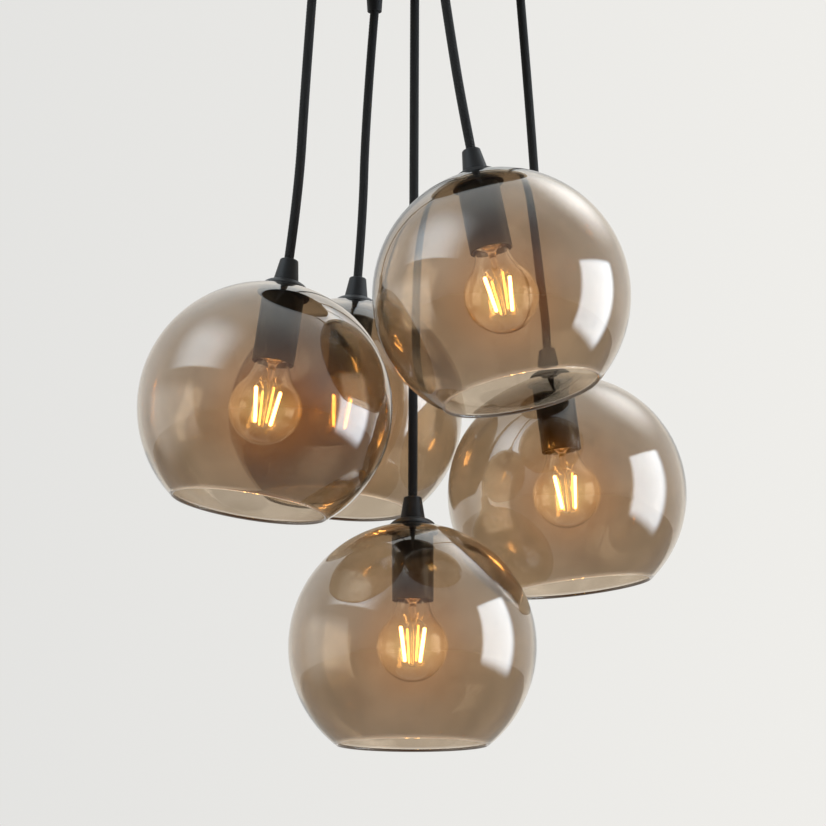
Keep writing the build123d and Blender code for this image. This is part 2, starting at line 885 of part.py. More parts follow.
def build_pendant(pendant):
    """One cord with its grip, cap, globe, lampholder and bulb."""
    frame = hanging_frame(pendant)
    bulb_frame = frame.offset(bulb_middle)
    name = pendant.name
    route = cord_route(pendant)
    cord, length, bends = make_cord(route)
    expected = pi * cord_radius**2 * (length + cord_radius * 2 / 3)
    print(name, "route", [tuple(round(value, 1) for value in point) for point in route])
    print(name, "cord", round(length, 1), "radii", [round(bend) for bend in bends])
    print(name, "cord volume over section times length", round(cord.volume / expected, 4))
    save(f"{name}_cord", cord)
    save(f"{name}_cord_grip", make_grip(frame))
    save(f"{name}_top_cap", make_cap(frame))
    save(f"{name}_shade", make_shade(frame))
    save(f"{name}_shade_fixings", make_fixings(frame))
    save(f"{name}_holder_sleeve", make_sleeve(frame))
    save(f"{name}_socket", make_socket(frame))
    save(f"{name}_bulb_cap", make_bulb_cap(bulb_frame))
    save(f"{name}_bulb_glass", make_bulb_glass(bulb_frame))
    save(f"{name}_bulb_filaments", make_filaments(bulb_frame, pendant.filament_turn))


def main():
    """Build every node and write it to the parts folder."""
    os.makedirs("parts", exist_ok=True)
    build_canopy_group()
    for pendant in pendants:
        build_pendant(pendant)


if __name__ == "__main__":
    main()
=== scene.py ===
"""Cluster pendant light: five smoke glass globes on black textile cords under one round canopy.

Metres, +Z up. The origin is on the ceiling, at the centre of the ceiling bracket. Each pendant is
built about its own axis, with its heights counted from the middle of its globe, then set in place.
"""

import json
import logging
from dataclasses import dataclass
from enum import Enum
from math import atan2, cos, pi, radians, sin, sqrt, tan

import bpy
import numpy as np
from mathutils import Matrix

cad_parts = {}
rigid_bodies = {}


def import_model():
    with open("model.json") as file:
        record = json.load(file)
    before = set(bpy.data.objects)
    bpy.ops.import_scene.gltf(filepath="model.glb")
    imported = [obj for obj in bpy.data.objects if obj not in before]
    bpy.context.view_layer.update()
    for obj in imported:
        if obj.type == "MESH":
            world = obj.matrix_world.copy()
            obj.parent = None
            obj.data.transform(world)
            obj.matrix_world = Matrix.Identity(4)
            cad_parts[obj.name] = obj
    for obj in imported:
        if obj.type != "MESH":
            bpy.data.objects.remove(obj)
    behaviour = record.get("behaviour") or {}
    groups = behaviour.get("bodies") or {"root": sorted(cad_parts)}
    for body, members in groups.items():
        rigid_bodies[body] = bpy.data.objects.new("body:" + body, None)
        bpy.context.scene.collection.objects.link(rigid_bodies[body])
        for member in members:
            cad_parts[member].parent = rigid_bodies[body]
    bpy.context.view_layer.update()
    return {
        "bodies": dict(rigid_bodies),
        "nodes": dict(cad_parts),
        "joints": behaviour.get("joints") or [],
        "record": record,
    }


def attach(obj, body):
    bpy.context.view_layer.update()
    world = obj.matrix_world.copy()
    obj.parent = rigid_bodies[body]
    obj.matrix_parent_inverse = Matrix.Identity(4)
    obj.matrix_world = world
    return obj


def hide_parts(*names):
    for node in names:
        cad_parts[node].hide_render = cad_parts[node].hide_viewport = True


log = logging.getLogger("pendant_light")

Array = np.ndarray
Colour = tuple[float, float, float]
Point = tuple[float, float, float]
Corner = tuple[float, float, float]
Node = bpy.types.Node
Socket = bpy.types.NodeSocket

TURN = 2 * pi
CLUSTER_MIDDLE = (0.0, 0.0, -0.38)
BLACK = (0.0, 0.0, 0.0)
PALE = (0.9, 0.9, 0.9)


# Surfaces worked out with numpy


@dataclass
class Surface:
    """A closed surface: points, four sided faces, three sided faces and a UV pair for each corner."""

    points: Array
    quads: Array
    triangles: Array
    quad_uv: Array
    triangle_uv: Array

    def volume(self) -> float:
        """Signed volume, the sum of the tetrahedra from the origin to each triangle of the surface."""
        split = np.concatenate([self.quads[:, [0, 1, 2]], self.quads[:, [0, 2, 3]], self.triangles])
        a, b, c = (self.points[split[:, k]] for k in range(3))
        return float(np.einsum("ij,ij->i", a, np.cross(b, c)).sum() / 6)

    def outward(self) -> "Surface":
        """The same surface with its faces turned to point outwards."""
        middle = self.points.mean(axis=0)
        self.points = self.points - middle
        inside_out = self.volume() < 0
        self.points = self.points + middle
        if inside_out:
            self.quads, self.quad_uv = self.quads[:, ::-1], self.quad_uv[:, ::-1]
            self.triangles, self.triangle_uv = self.triangles[:, ::-1], self.triangle_uv[:, ::-1]
        return self


def joined(surfaces: list[Surface]) -> Surface:
    """Several surfaces as one, each point index raised by the number of points before it."""
    starts = np.cumsum([0] + [len(surface.points) for surface in surfaces[:-1]])
    return Surface(
        points=np.concatenate([surface.points for surface in surfaces]),
        quads=np.concatenate([surface.quads + start for surface, start in zip(surfaces, starts)]),
        triangles=np.concatenate([surface.triangles + start for surface, start in zip(surfaces, starts)]),
        quad_uv=np.concatenate([surface.quad_uv for surface in surfaces]),
        triangle_uv=np.concatenate([surface.triangle_uv for surface in surfaces]),
    )


def skinned(
    rings: Array, along: Array, loop: bool = False, start: Array | None = None, end: Array | None = None
) -> Surface:
    """Skin over a stack of rings: each ring is joined to the next, and each point to its neighbour.

    Args:
        rings: points, by ring and by place round the ring.
        along: distance of each ring along the skin, the second UV value.
        loop: the last ring is joined to the first, as in a hollow turned part.
        start: a point that closes the first ring.
        end: a point that closes the last ring.

    Returns:
        The surface, with U running once round each ring.
    """
    count, around = rings.shape[:2]
    index = np.arange(count * around).reshape(count, around)
    here = index if loop else index[:-1]
    there = np.roll(index, -1, axis=0) if loop else index[1:]
    quads = np.stack([here, np.roll(here, -1, 1), np.roll(there, -1, 1), there], axis=-1).reshape(-1, 4)
    left = np.arange(around) / around
    right = left + 1 / around
    low = along if loop else along[:-1]
    step = np.linalg.norm(rings[0] - rings[-1], axis=1).mean()
    high = np.append(along[1:], along[-1] + step) if loop else along[1:]
    flat_left, flat_low = np.meshgrid(left, low)
    flat_right, flat_high = np.meshgrid(right, high)
    corners = [(flat_left, flat_low), (flat_right, flat_low), (flat_right, flat_high), (flat_left, flat_high)]
    quad_uv = np.stack([np.stack(pair, axis=-1) for pair in corners], axis=2).reshape(-1, 4, 2)
    points = [rings.reshape(-1, 3)]
    triangles, triangle_uv = [np.empty((0, 3), int)], [np.empty((0, 3, 2))]
    for pole, ring, height, flip in ((start, index[0], along[0], False), (end, index[-1], along[-1], True)):
        if pole is None:
            continue
        tip = np.full(around, sum(len(part) for part in points))
        pair = (ring, np.roll(ring, -1)) if flip else (np.roll(ring, -1), ring)
        triangles.append(np.stack([tip, *pair], axis=-1))
        sides = (left, right) if flip else (right, left)
        level = np.full(around, height)
        places = [(left + right) / 2, sides[0], sides[1]]
        triangle_uv.append(np.stack([np.stack([place, level], axis=-1) for place in places], axis=1))
        points.append(np.reshape(pole, (1, 3)))
    return Surface(
        points=np.concatenate(points),
        quads=quads,
        triangles=np.concatenate(triangles),
        quad_uv=quad_uv,
        triangle_uv=np.concatenate(triangle_uv),
    ).outward()


def profile_length(profile: Array) -> Array:
    """Distance along a profile at each of its points, from its first point."""
    return np.concatenate([[0.0], np.cumsum(np.linalg.norm(np.diff(profile, axis=0), axis=1))])


def turned(profile: Array, around: int) -> Surface:
    """Turned part: each profile point (out, up) goes round the axis as (out cos a, out sin a, up).

    Args:
        profile: rows of distance from the axis and height. Where its first or last point is on the
            axis the surface closes there in a pole, and otherwise the profile closes on itself.
        around: number of points round the axis.

    Returns:
        The turned surface about the Z axis.
    """
    closed = [profile[row, 0] == 0 for row in (0, -1)]
    body = slice(int(closed[0]), len(profile) - int(closed[1]))
    angle = np.arange(around) * TURN / around
    out, up = profile[body, :1], profile[body, 1:]
    rings = np.stack([out * np.cos(angle), out * np.sin(angle), up * np.ones(around)], axis=-1)
    start, end = (np.array([0, 0, profile[row, 1]]) if pole else None for row, pole in zip((0, -1), closed))
    return skinned(rings, profile_length(profile)[body], not any(closed), start, end)


def arc(middle: tuple[float, float], radius: float, first: float, last: float, count: int) -> Array:
    """Points on a circle: middle plus radius times (cos a, sin a), with a from first to last.

    Args:
        middle: middle of the circle, out from the axis and up.
        radius: radius of the circle.
        first: first angle in degrees, from the outward direction towards up.
        last: last angle in degrees.
        count: number of points.

    Returns:
        The points, as rows of (out, up).
    """
    angle = np.radians(np.linspace(first, last, count))
    return np.stack([middle[0] + radius * np.cos(angle), middle[1] + radius * np.sin(angle)], axis=-1)


def bend(middle: Array, radius: float, first: Array, last: Array, count: int) -> Array:
    """Points on a circle from the direction of one point to that of another, the short way round."""
    start = atan2(*(first - middle)[::-1])
    sweep = (atan2(*(last - middle)[::-1]) - start + pi) % TURN - pi
    angle = start + sweep * np.linspace(0, 1, count)
    return middle + radius * np.stack([np.cos(angle), np.sin(angle)], axis=-1)


CORNER_SHARE = 0.45
HOLD_SHARE = 0.04


def rounded(corners: list[Corner], steps: int = 7) -> Array:
    """Closed outline of straight runs whose corners are arcs tangent to both runs.

    A corner of opening angle t and round r starts r / tan(t / 2) before its point, and at most the
    corner share of a run before it. One more point stands before and after each arc, at most the
    hold share of a run away, so that the flat runs beside it shade flat.

    Args:
        corners: rows of distance out, height and round, in order along the outline.
        steps: number of points on each arc.

    Returns:
        The outline, as rows of (out, up).
    """
    place = np.array([corner[:2] for corner in corners], float)
    found: list[Array] = []
    for index, here in enumerate(place):
        back, ahead = place[index - 1] - here, place[(index + 1) % len(corners)] - here
        back_length, ahead_length = np.linalg.norm(back), np.linalg.norm(ahead)
        back, ahead = back / back_length, ahead / ahead_length
        half = np.arccos(np.clip(back @ ahead, -1, 1)) / 2
        cut = min(corners[index][2] / tan(half), CORNER_SHARE * back_length, CORNER_SHARE * ahead_length)
        hold = min(0.5 * cut, HOLD_SHARE * back_length, HOLD_SHARE * ahead_length)
        turn = cut * tan(half)
        middle = here + (back + ahead) / np.linalg.norm(back + ahead) * turn / sin(half)
        first, last = here + back * cut, here + ahead * cut
        found += [[first + back * hold], bend(middle, turn, first, last, steps), [last + ahead * hold]]
    return np.concatenate(found)


def tube(line: Array, radius: Array | float, around: int, relief: Array | None = None) -> Surface:
    """Round tube whose rings stand square on a line, closed at both ends by a point.

    A ring's point is line + (side cos a + other sin a) times the radius there, where side is the
    X direction with its part along the line taken off, or Y where the line runs along X.

    Args:
        line: points that the tube follows.
        radius: radius, one for all or one for each point.
        around: number of points round the tube.
        relief: height to add to the radius, by ring and by place round it.

    Returns:
        The tube's surface, with V running along it in metres.
    """
    ahead = np.gradient(line, axis=0)
    ahead /= np.linalg.norm(ahead, axis=1, keepdims=True)
    reference = np.array([0.0, 1, 0]) if abs(ahead[:, 0]).mean() > 0.8 else np.array([1.0, 0, 0])
    side = reference - ahead * (ahead @ reference)[:, None]
    side /= np.linalg.norm(side, axis=1, keepdims=True)
    other = np.cross(ahead, side)
    angle = np.arange(around) * TURN / around
    spoke = side[:, None] * np.cos(angle)[None, :, None] + other[:, None] * np.sin(angle)[None, :, None]
    reach = np.broadcast_to(np.reshape(radius, (-1, 1)), (len(line), around))
    reach = reach if relief is None else reach + relief
    rings = line[:, None] + spoke * reach[..., None]
    along = profile_length(line)
    return skinned(rings, along, start=line[0], end=line[-1])


def capsule(low: Array, high: Array, radius: float, around: int = 20, steps: int = 7) -> Surface:
    """Round rod between two tips: its radius is r sin b over each end's arc, b from 8 to 90 degrees.

    Args:
        low: the tip of one end.
        high: the tip of the other end.
        radius: radius of the rod.
        around: number of points round the rod.
        steps: number of rings on each round end.

    Returns:
        The rod's surface.
    """
    length = np.linalg.norm(high - low)
    angle = np.radians(np.linspace(8, 90, steps))
    reach = np.concatenate([radius * np.sin(angle), radius * np.sin(angle)[::-1]])
    place = np.concatenate([radius * (1 - np.cos(angle)), length - radius * (1 - np.cos(angle))[::-1]])
    line = low + (high - low) / length * place[:, None]
    surface = tube(line, reach, around)
    surface.points[-2], surface.points[-1] = low, high
    return surface


def curved_line(points: list[Array], count: int) -> Array:
    """Smooth line through three points: a (1-t)(1-2t) + 4 b t (1-t) + c t (2t-1), t from 0 to 1."""
    t = np.linspace(0, 1, count)[:, None]
    first, middle, last = points
    return first * (1 - t) * (1 - 2 * t) + middle * 4 * t * (1 - t) + last * t * (2 * t - 1)


def sphere_height(radius: float, out: float) -> float:
    """Height of a sphere's surface over its middle, at a distance out from the axis."""
    return sqrt(radius**2 - out**2)


# Shader nodes


class Group(Enum):
    """The kinds of shader group that the finishes are made with."""

    FINE_GRAIN = "fine_grain"
    DUST = "settled_dust"
    BLOWN = "blown_unevenness"
    BRAID = "round_braid"


def rgba(colour: Colour) -> tuple[float, float, float, float]:
    """The colour with an alpha of one."""
    return (*colour, 1.0)


def scaled(colour: Colour, factor: float) -> Colour:
    """The colour times a factor."""
    return tuple(factor * part for part in colour)


class NodeBench:
    """A node tree under construction, with short ways to add nodes and join their sockets."""

    def __init__(self, tree: bpy.types.NodeTree) -> None:
        """Keeps the tree that the nodes go into."""
        self.tree = tree
        self.column = 0

    def feed(self, node: Node, values: dict) -> None:
        """Sets a node's input sockets, by name or number, or joins other sockets to them."""
        for name, value in values.items():
            if isinstance(value, Socket):
                self.tree.links.new(value, node.inputs[name])
            else:
                node.inputs[name].default_value = value

    def add(self, kind: str, values: dict | None = None, **settings: object) -> Node:
        """Adds one node.

        Args:
            kind: Blender's name of the node type, without the ShaderNode in front of it.
            values: values of its input sockets, or sockets to join to them, by name or number.
            settings: its other settings, by their Python name.

        Returns:
            The new node.
        """
        node = self.tree.nodes.new(kind if kind.startswith("Node") else "ShaderNode" + kind)
        node.location = (self.column * 180, 0)
        self.column += 1
        for name, value in settings.items():
            setattr(node, name, value)
        self.feed(node, values or {})
        return node

    def group(self, kind: Group, **values: float) -> Node:
        """Adds a shared group with values for its inputs."""
        return self.add("Group", values, node_tree=EFFECTS.get(kind))

    def math(self, operation: str, *values: object) -> Socket:
        """Result of one Math node on numbers or sockets."""
        return self.add("Math", dict(enumerate(values)), operation=operation).outputs[0]

    def gap(self, value: Socket, place: float) -> Socket:
        """Distance of a value from a place."""
        return self.math("ABSOLUTE", self.math("SUBTRACT", value, place))

    def blend(self, share: Socket, first: Colour | Socket, second: Colour | Socket) -> Socket:
        """Colour between two colours, by a share that varies over the surface."""
        first, second = (tone if isinstance(tone, Socket) else rgba(tone) for tone in (first, second))
        return self.add("Mix", {0: share, 6: first, 7: second}, data_type="RGBA").outputs[2]

    def ramp(self, value: Socket, low: float, high: float, smooth: bool = False) -> Socket:
        """Share from 0 to 1 as the value goes from low to high, eased at both ends where smooth."""
        kind = "SMOOTHSTEP" if smooth else "LINEAR"
        values = {"Value": value, "From Min": low, "From Max": high}
        return self.add("MapRange", values, interpolation_type=kind).outputs[0]

    def span(self, share: Socket, low: float, high: float) -> Socket:
        """Value from low to high as the share goes from 0 to 1."""
        return self.add("MapRange", {"Value": share, "To Min": low, "To Max": high}).outputs[0]

    def noise(self, where: Socket, scale: float | Socket, detail: float, **more: float) -> Socket:
        """Value of a noise texture at a place."""
        return self.add("TexNoise", {"Vector": where, "Scale": scale, "Detail": detail, **more}).outputs[0]

    def place(self, name: str) -> Socket:
        """One of the surface's own coordinates: Object, UV or Generated."""
        return self.add("TexCoord").outputs[name]

    def parts(self, vector: Socket) -> list[Socket]:
        """The X, Y and Z part of a vector."""
        return list(self.add("SeparateXYZ", {0: vector}).outputs)

    def bump(self, height: Socket, strength: float, depth: float) -> Socket:
        """Normal dented by a height from 0 to 1, the bump's real height being the depth in metres."""
        return self.add("Bump", {"Strength": strength, "Distance": depth, "Height": height}).outputs[0]


class Effects:
    """The shader groups, each built once when a finish first asks for it."""

    def __init__(self) -> None:
        """Starts with no group built."""
        self.built: dict[Group, bpy.types.NodeTree] = {}

    def get(self, kind: Group) -> bpy.types.NodeTree:
        """The group of that kind, built on the first call."""
        if kind not in self.built:
            makers = {
                Group.FINE_GRAIN: self.fine_grain,
                Group.DUST: self.dust,
                Group.BLOWN: self.blown,
                Group.BRAID: self.braid,
            }
            self.built[kind] = makers[kind]()
        return self.built[kind]

    def start(self, kind: Group, takes: dict[str, float], gives: list[str]) -> tuple[NodeBench, dict[str, Socket]]:
        """Opens a group with its sockets.

        Args:
            kind: the group's name.
            takes: its inputs and their usual values.
            gives: its outputs.

        Returns:
            The bench to build it on, and its inputs by name.
        """
        tree = bpy.data.node_groups.new(kind.value, "ShaderNodeTree")
        for name, value in takes.items():
            tree.interface.new_socket(name=name, in_out="INPUT", socket_type="NodeSocketFloat").default_value = value
        for name in gives:
            tree.interface.new_socket(name=name, in_out="OUTPUT", socket_type="NodeSocketFloat")
        bench = NodeBench(tree)
        entry = bench.add("NodeGroupInput")
        return bench, {name: entry.outputs[name] for name in takes}

    def close(self, bench: NodeBench, results: dict[str, Socket]) -> bpy.types.NodeTree:
        """Joins the results to the group's outputs and returns the group."""
        bench.add("NodeGroupOutput", results)
        return bench.tree

    def fine_grain(self) -> bpy.types.NodeTree:
        """Two sizes of noise added up, as the skin of a moulded or coated part."""
        bench, takes = self.start(Group.FINE_GRAIN, {"Scale": 900.0, "Coarse": 0.3}, ["Height", "Shade"])
        where = bench.place("Object")
        fine = bench.noise(where, takes["Scale"], 3.0)
        broad = bench.noise(where, bench.math("MULTIPLY", takes["Scale"], 0.06), 2.0)
        height = bench.math("MULTIPLY_ADD", broad, takes["Coarse"], fine)
        shade = bench.math("MULTIPLY_ADD", bench.math("SUBTRACT", broad, 0.5), 1.6, 0.5)
        return self.close(bench, {"Height": height, "Shade": shade})

    def dust(self) -> bpy.types.NodeTree:
        """Fine dust on what faces up: the normal's upward part times a speckled noise."""
        bench, takes = self.start(Group.DUST, {"Amount": 0.3}, ["Mask"])
        up = bench.parts(bench.add("NewGeometry").outputs["Normal"])[2]
        facing = bench.ramp(up, 0.3, 1.0)
        spread = bench.ramp(bench.noise(bench.place("Object"), 260.0, 5.0, Roughness=0.7), 0.42, 0.7)
        mask = bench.math("MULTIPLY", bench.math("MULTIPLY", facing, spread), takes["Amount"])
        return self.close(bench, {"Mask": mask})

    def blown(self) -> bpy.types.NodeTree:
        """Slow unevenness of blown glass: broad noise for its height, a cloudier one for its density."""
        bench, takes = self.start(Group.BLOWN, {"Scale": 14.0, "Clouds": 30.0}, ["Height", "Density"])
        where = bench.place("Object")
        height = bench.noise(where, takes["Scale"], 1.0)
        density = bench.noise(where, takes["Clouds"], 3.0, Distortion=0.6)
        return self.close(bench, {"Height": height, "Density": density})

    def braid(self) -> bpy.types.NodeTree:
        """Yarns of a round braid, from the UV map: u turns round the cord and v metres along it.

        With a = n (u + v / lead) and b = n (u - v / lead), the yarns of one hand lie between whole
        values of a and those of the other between whole values of b. The sum of the whole parts is
        even where the first hand is on top. A yarn's height is sin of its place across, times pi; the
        Shade output is that height, used for painted shade that is darker in the gaps between yarns.
        """
        bench, takes = self.start(
            Group.BRAID, {"Yarns": 8.0, "Lead": 0.019, "Fibres": 9.0}, ["Height", "Shade", "Fibre"]
        )
        turns, metres, _ = bench.parts(bench.place("UV"))
        climb = bench.math("DIVIDE", metres, takes["Lead"])
        first = bench.math("MULTIPLY", bench.math("ADD", turns, climb), takes["Yarns"])
        second = bench.math("MULTIPLY", bench.math("SUBTRACT", turns, climb), takes["Yarns"])
        whole = bench.math("ADD", bench.math("FLOOR", first), bench.math("FLOOR", second))
        top = bench.math("PINGPONG", whole, 1.0)
        across = bench.add("Mix", {0: top, 2: bench.math("FRACT", first), 3: bench.math("FRACT", second)}).outputs[0]
        along = bench.add("Mix", {0: top, 2: second, 3: first}).outputs[0]
        height = bench.math("SINE", bench.math("MULTIPLY", across, pi))
        wide, long = bench.math("MULTIPLY", across, takes["Fibres"]), bench.math("MULTIPLY", along, 1.5)
        place = bench.add("CombineXYZ", {0: wide, 1: long, 2: top})
        fibre = bench.noise(place.outputs[0], 1.0, 3.0)
        rise = bench.math("MULTIPLY_ADD", fibre, 0.35, height)
        return self.close(bench, {"Height": rise, "Shade": height, "Fibre": fibre})


EFFECTS = Effects()


def opened(name: str) -> tuple[NodeBench, bpy.types.Material, Node]:
    """The bench for a new material's nodes, the material, and its Principled shader."""
    material = bpy.data.materials.new(name)
    material.use_nodes = True
    tree = material.node_tree
    return NodeBench(tree), material, tree.nodes["Principled BSDF"]


# Finishes

DUST_GREY = (0.33, 0.32, 0.30)
DARK_PATCH = 0.82
LIGHT_PATCH = 1.22
LIGHT_PATCH_LIFT = 0.002
DULL_PATCH = 0.78
DULL_ROUGHNESS = 0.08
ROUGHNESS_SPREAD = 0.05
FLECK = 3.0
PHOSPHOR_GRAIN = 2600.0
WEAK_GLOW = 0.8


@dataclass(frozen=True)
class Coated:
    """Matte or satin coat, moulded plastic or rubber: a grained skin with a little dust on top."""

    name: str
    slot: str
    colour: Colour
    roughness: float
    grain: float = 1400.0
    depth: float = 0.00004
    dust: float = 0.12
    specular: float = 0.5

    def material(self) -> bpy.types.Material:
        """Builds the material: grain in the normal, patches in colour and roughness, dust on top."""
        bench, material, shader = opened(self.name)
        grain = bench.group(Group.FINE_GRAIN, Scale=self.grain)
        shade = grain.outputs["Shade"]
        lighter = tuple(min(1.0, LIGHT_PATCH * part + LIGHT_PATCH_LIFT) for part in self.colour)
        tone = bench.blend(shade, scaled(self.colour, DARK_PATCH), lighter)
        dust = bench.group(Group.DUST, Amount=self.dust)
        values = {
            "Base Color": bench.blend(dust.outputs["Mask"], tone, DUST_GREY),
            "Roughness": bench.span(shade, self.roughness - ROUGHNESS_SPREAD, self.roughness + ROUGHNESS_SPREAD),
            "Specular IOR Level": self.specular,
            "Normal": bench.bump(grain.outputs["Height"], 0.5, self.depth),
        }
        bench.feed(shader, values)
        return material


@dataclass(frozen=True)
class Metal:
    """Bare or plated metal: a fine grain, with patches that are a little duller."""

    name: str
    slot: str
    colour: Colour
    roughness: float
    grain: float = 1100.0
    depth: float = 0.00002

    def material(self) -> bpy.types.Material:
        """Builds the material: a metallic shader whose roughness and colour vary with the grain."""
        bench, material, shader = opened(self.name)
        grain = bench.group(Group.FINE_GRAIN, Scale=self.grain, Coarse=0.8)
        shade = grain.outputs["Shade"]
        values = {
            "Base Color": bench.blend(shade, scaled(self.colour, DULL_PATCH), self.colour),
            "Roughness": bench.span(shade, self.roughness + DULL_ROUGHNESS, self.roughness - ROUGHNESS_SPREAD),
            "Metallic": 1.0,
            "Normal": bench.bump(grain.outputs["Height"], 0.4, self.depth),
        }
        bench.feed(shader, values)
        return material


@dataclass(frozen=True)
class Textile:
    """Braided textile cover of a cord: round yarns with fine fibres, painted shade in the gaps between yarns, and
    paler high spots.
    """

    name: str
    slot: str
    # colour of the painted shade in the gaps between yarns
    gap_shade: Colour
    raised: Colour
    yarns: float
    lead: float

    def material(self) -> bpy.types.Material:
        """Builds the material from the braid group: painted shade in the gaps, paler yarn backs, fibres in the bump.
        """
        bench, material, shader = opened(self.name)
        braid = bench.group(Group.BRAID, Yarns=self.yarns, Lead=self.lead)
        # painted shade: darker in the gaps between yarns, paler on the yarn tops
        tone = bench.blend(braid.outputs["Shade"], self.gap_shade, self.raised)
        fleck = bench.ramp(braid.outputs["Fibre"], 0.45, 0.8)
        values = {
            "Base Color": bench.blend(fleck, tone, scaled(self.raised, FLECK)),
            "Roughness": 0.82,
            "Specular IOR Level": 0.22,
            "Sheen Weight": 0.07,
            "Sheen Roughness": 0.45,
            "Normal": bench.bump(braid.outputs["Height"], 0.8, 0.00025),
        }
        bench.feed(shader, values)
        return material


@dataclass(frozen=True)
class Glass:
    """Blown glass, clear or tinted through: light that passes a wall takes the tint once.

    Near the lip the tint gets paler and a painted glow is added within its reach of one place along
    the turned profile: a painted highlight on the rim. A faint painted glow of the lamp's own light in
    the glass is strongest at one place along the profile, which runs up the outside for the profile's
    length and back down the inside. The same painted glow is added where a wall faces the eye, which
    puts it round the lit bulb: it fades as the facing weight, 1 less the cosine of the angle between
    wall and view, gets to its reach, and where the glow along the profile fades.
    """

    name: str
    slot: str
    tint: Colour
    thick_tint: Colour
    index: float = 1.5
    unevenness: float = 0.00004
    shade_tint: Colour = PALE
    roughness: float = 0.0
    lip_place: float = 0.0
    lip_reach: float = 0.0
    # paler tint and painted glow of the lip, a painted highlight on the rim
    lip_highlight_tint: Colour = PALE
    lip_highlight_glow: Colour = BLACK
    # painted glow of the lamp's light in the glass, along the profile
    lamp_glow: Colour = BLACK
    lamp_glow_place: float = 0.0
    lamp_glow_reach: float = 0.0
    profile_length: float = 1.0
    # painted glow where a wall faces the eye
    core_glow: Colour = BLACK
    core_glow_reach: float = 0.1

    def material(self) -> bpy.types.Material:
        """Builds the material: clear refraction, and a plain see-through stand-in for shadow rays."""
        bench, material, shader = opened(self.name)
        uneven = bench.group(Group.BLOWN)
        tone = bench.blend(bench.ramp(uneven.outputs["Density"], 0.35, 0.65), self.tint, self.thick_tint)
        along = bench.parts(bench.place("UV"))[1]
        # painted glow where a wall faces the eye, round the lit bulb
        facing = bench.add("LayerWeight", {"Blend": 0.5}).outputs["Facing"]
        lit = bench.ramp(facing, self.core_glow_reach, 0.0, smooth=True)
        glow = BLACK
        # painted highlight on the lip: a paler tint and a painted glow
        if self.lip_reach:
            gap = bench.gap(along, self.lip_place)
            tone = bench.blend(bench.ramp(gap, self.lip_reach, 0.5 * self.lip_reach), tone, self.lip_highlight_tint)
            edge = bench.ramp(gap, 0.6 * self.lip_reach, 0.3 * self.lip_reach)
            glow = bench.blend(edge, glow, self.lip_highlight_glow)
        # painted glow of the lamp's light in the glass, strongest at one place along the profile
        if self.lamp_glow_reach:
            folded = bench.math("PINGPONG", along, self.profile_length)
            near = bench.ramp(bench.gap(folded, self.lamp_glow_place), self.lamp_glow_reach, 0.0, smooth=True)
            glow = bench.blend(near, glow, self.lamp_glow)
            lit = bench.math("MULTIPLY", lit, near)
        values = {
            "Emission Color": bench.blend(lit, glow, self.core_glow),
            "Emission Strength": 1.0,
            "Base Color": tone,
            "Roughness": self.roughness,
            "IOR": self.index,
            "Transmission Weight": 1.0,
            "Normal": bench.bump(uneven.outputs["Height"], 0.35, self.unevenness),
        }
        bench.feed(shader, values)
        clear = bench.add("BsdfTransparent", {"Color": rgba(self.shade_tint)})
        shadow = bench.add("LightPath").outputs["Is Shadow Ray"]
        mix = bench.add("MixShader", {0: shadow, 1: shader.outputs[0], 2: clear.outputs[0]})
        bench.feed(bench.tree.nodes["Material Output"], {"Surface": mix.outputs[0]})
        return material


@dataclass(frozen=True)
class Glowing:
    """Lit filament: a yellow phosphor coat that glows warm, a little weaker in fine patches."""

    name: str
    slot: str
    coat: Colour
    glow: Colour
    strength: float

    def material(self) -> bpy.types.Material:
        """Builds the material: the phosphor's colour, and a glow whose colour varies along it."""
        bench, material, shader = opened(self.name)
        grain = bench.group(Group.FINE_GRAIN, Scale=PHOSPHOR_GRAIN)
        values = {
            "Emission Color": bench.blend(grain.outputs["Shade"], scaled(self.glow, WEAK_GLOW), self.glow),
            "Emission Strength": self.strength,
            "Base Color": rgba(self.coat),
            "Roughness": 0.4,
            "Normal": bench.bump(grain.outputs["Height"], 0.4, 0.00002),
        }
        bench.feed(shader, values)
        return material


Finish = Coated | Metal | Textile | Glass | Glowing

CORD_YARNS = 8
CORD_LEAD = 0.019
# painted shade colour in the gaps between the cord's yarns
CORD_GAP_SHADE = (0.002, 0.0018, 0.0016)
CORD_GREY = (0.0085, 0.0076, 0.0068)
WARM_BLACK = (0.0125, 0.0118, 0.0112)
PHOSPHOR = (0.85, 0.55, 0.12)

CORD_BRAID = Textile("black_textile_braid", "black_textile", CORD_GAP_SHADE, CORD_GREY, CORD_YARNS, CORD_LEAD)
GRIP_PLASTIC = Coated("black_grip_plastic", "black_plastic", WARM_BLACK, 0.50, 1900.0, 0.00003, 0.04, 0.16)
CAP_COAT = Coated("black_cap_coat", "black_metal", WARM_BLACK, 0.44, 1700.0, 0.00003, 0.08, 0.24)
SLEEVE_COAT = Coated("black_sleeve_coat", "black_plastic", (0.011, 0.011, 0.012), 0.46, 2100.0, 0.00003, 0.0)
CANOPY_COAT = Coated("black_canopy_coat", "black_metal", (0.0135, 0.0128, 0.0122), 0.47, 1500.0, 0.00004, 0.08, 0.26)
SCREW_STEEL = Metal("black_screw_steel", "black_steel", (0.06, 0.06, 0.062), 0.38)
FIXING_STEEL = Metal("dark_fixing_steel", "dark_steel", (0.13, 0.11, 0.10), 0.38)
ZINC = Metal("zinc_plated_steel", "zinc_steel", (0.58, 0.59, 0.61), 0.34)
BRASS = Metal("plain_brass", "brass", (0.75, 0.56, 0.27), 0.32)
NICKEL = Metal("nickel_plate", "nickel", (0.66, 0.64, 0.60), 0.26)
LEAD_COVER = Coated("black_lead_cover", "black_textile", (0.012, 0.012, 0.012), 0.8, 2400.0, 0.00008, 0.0)
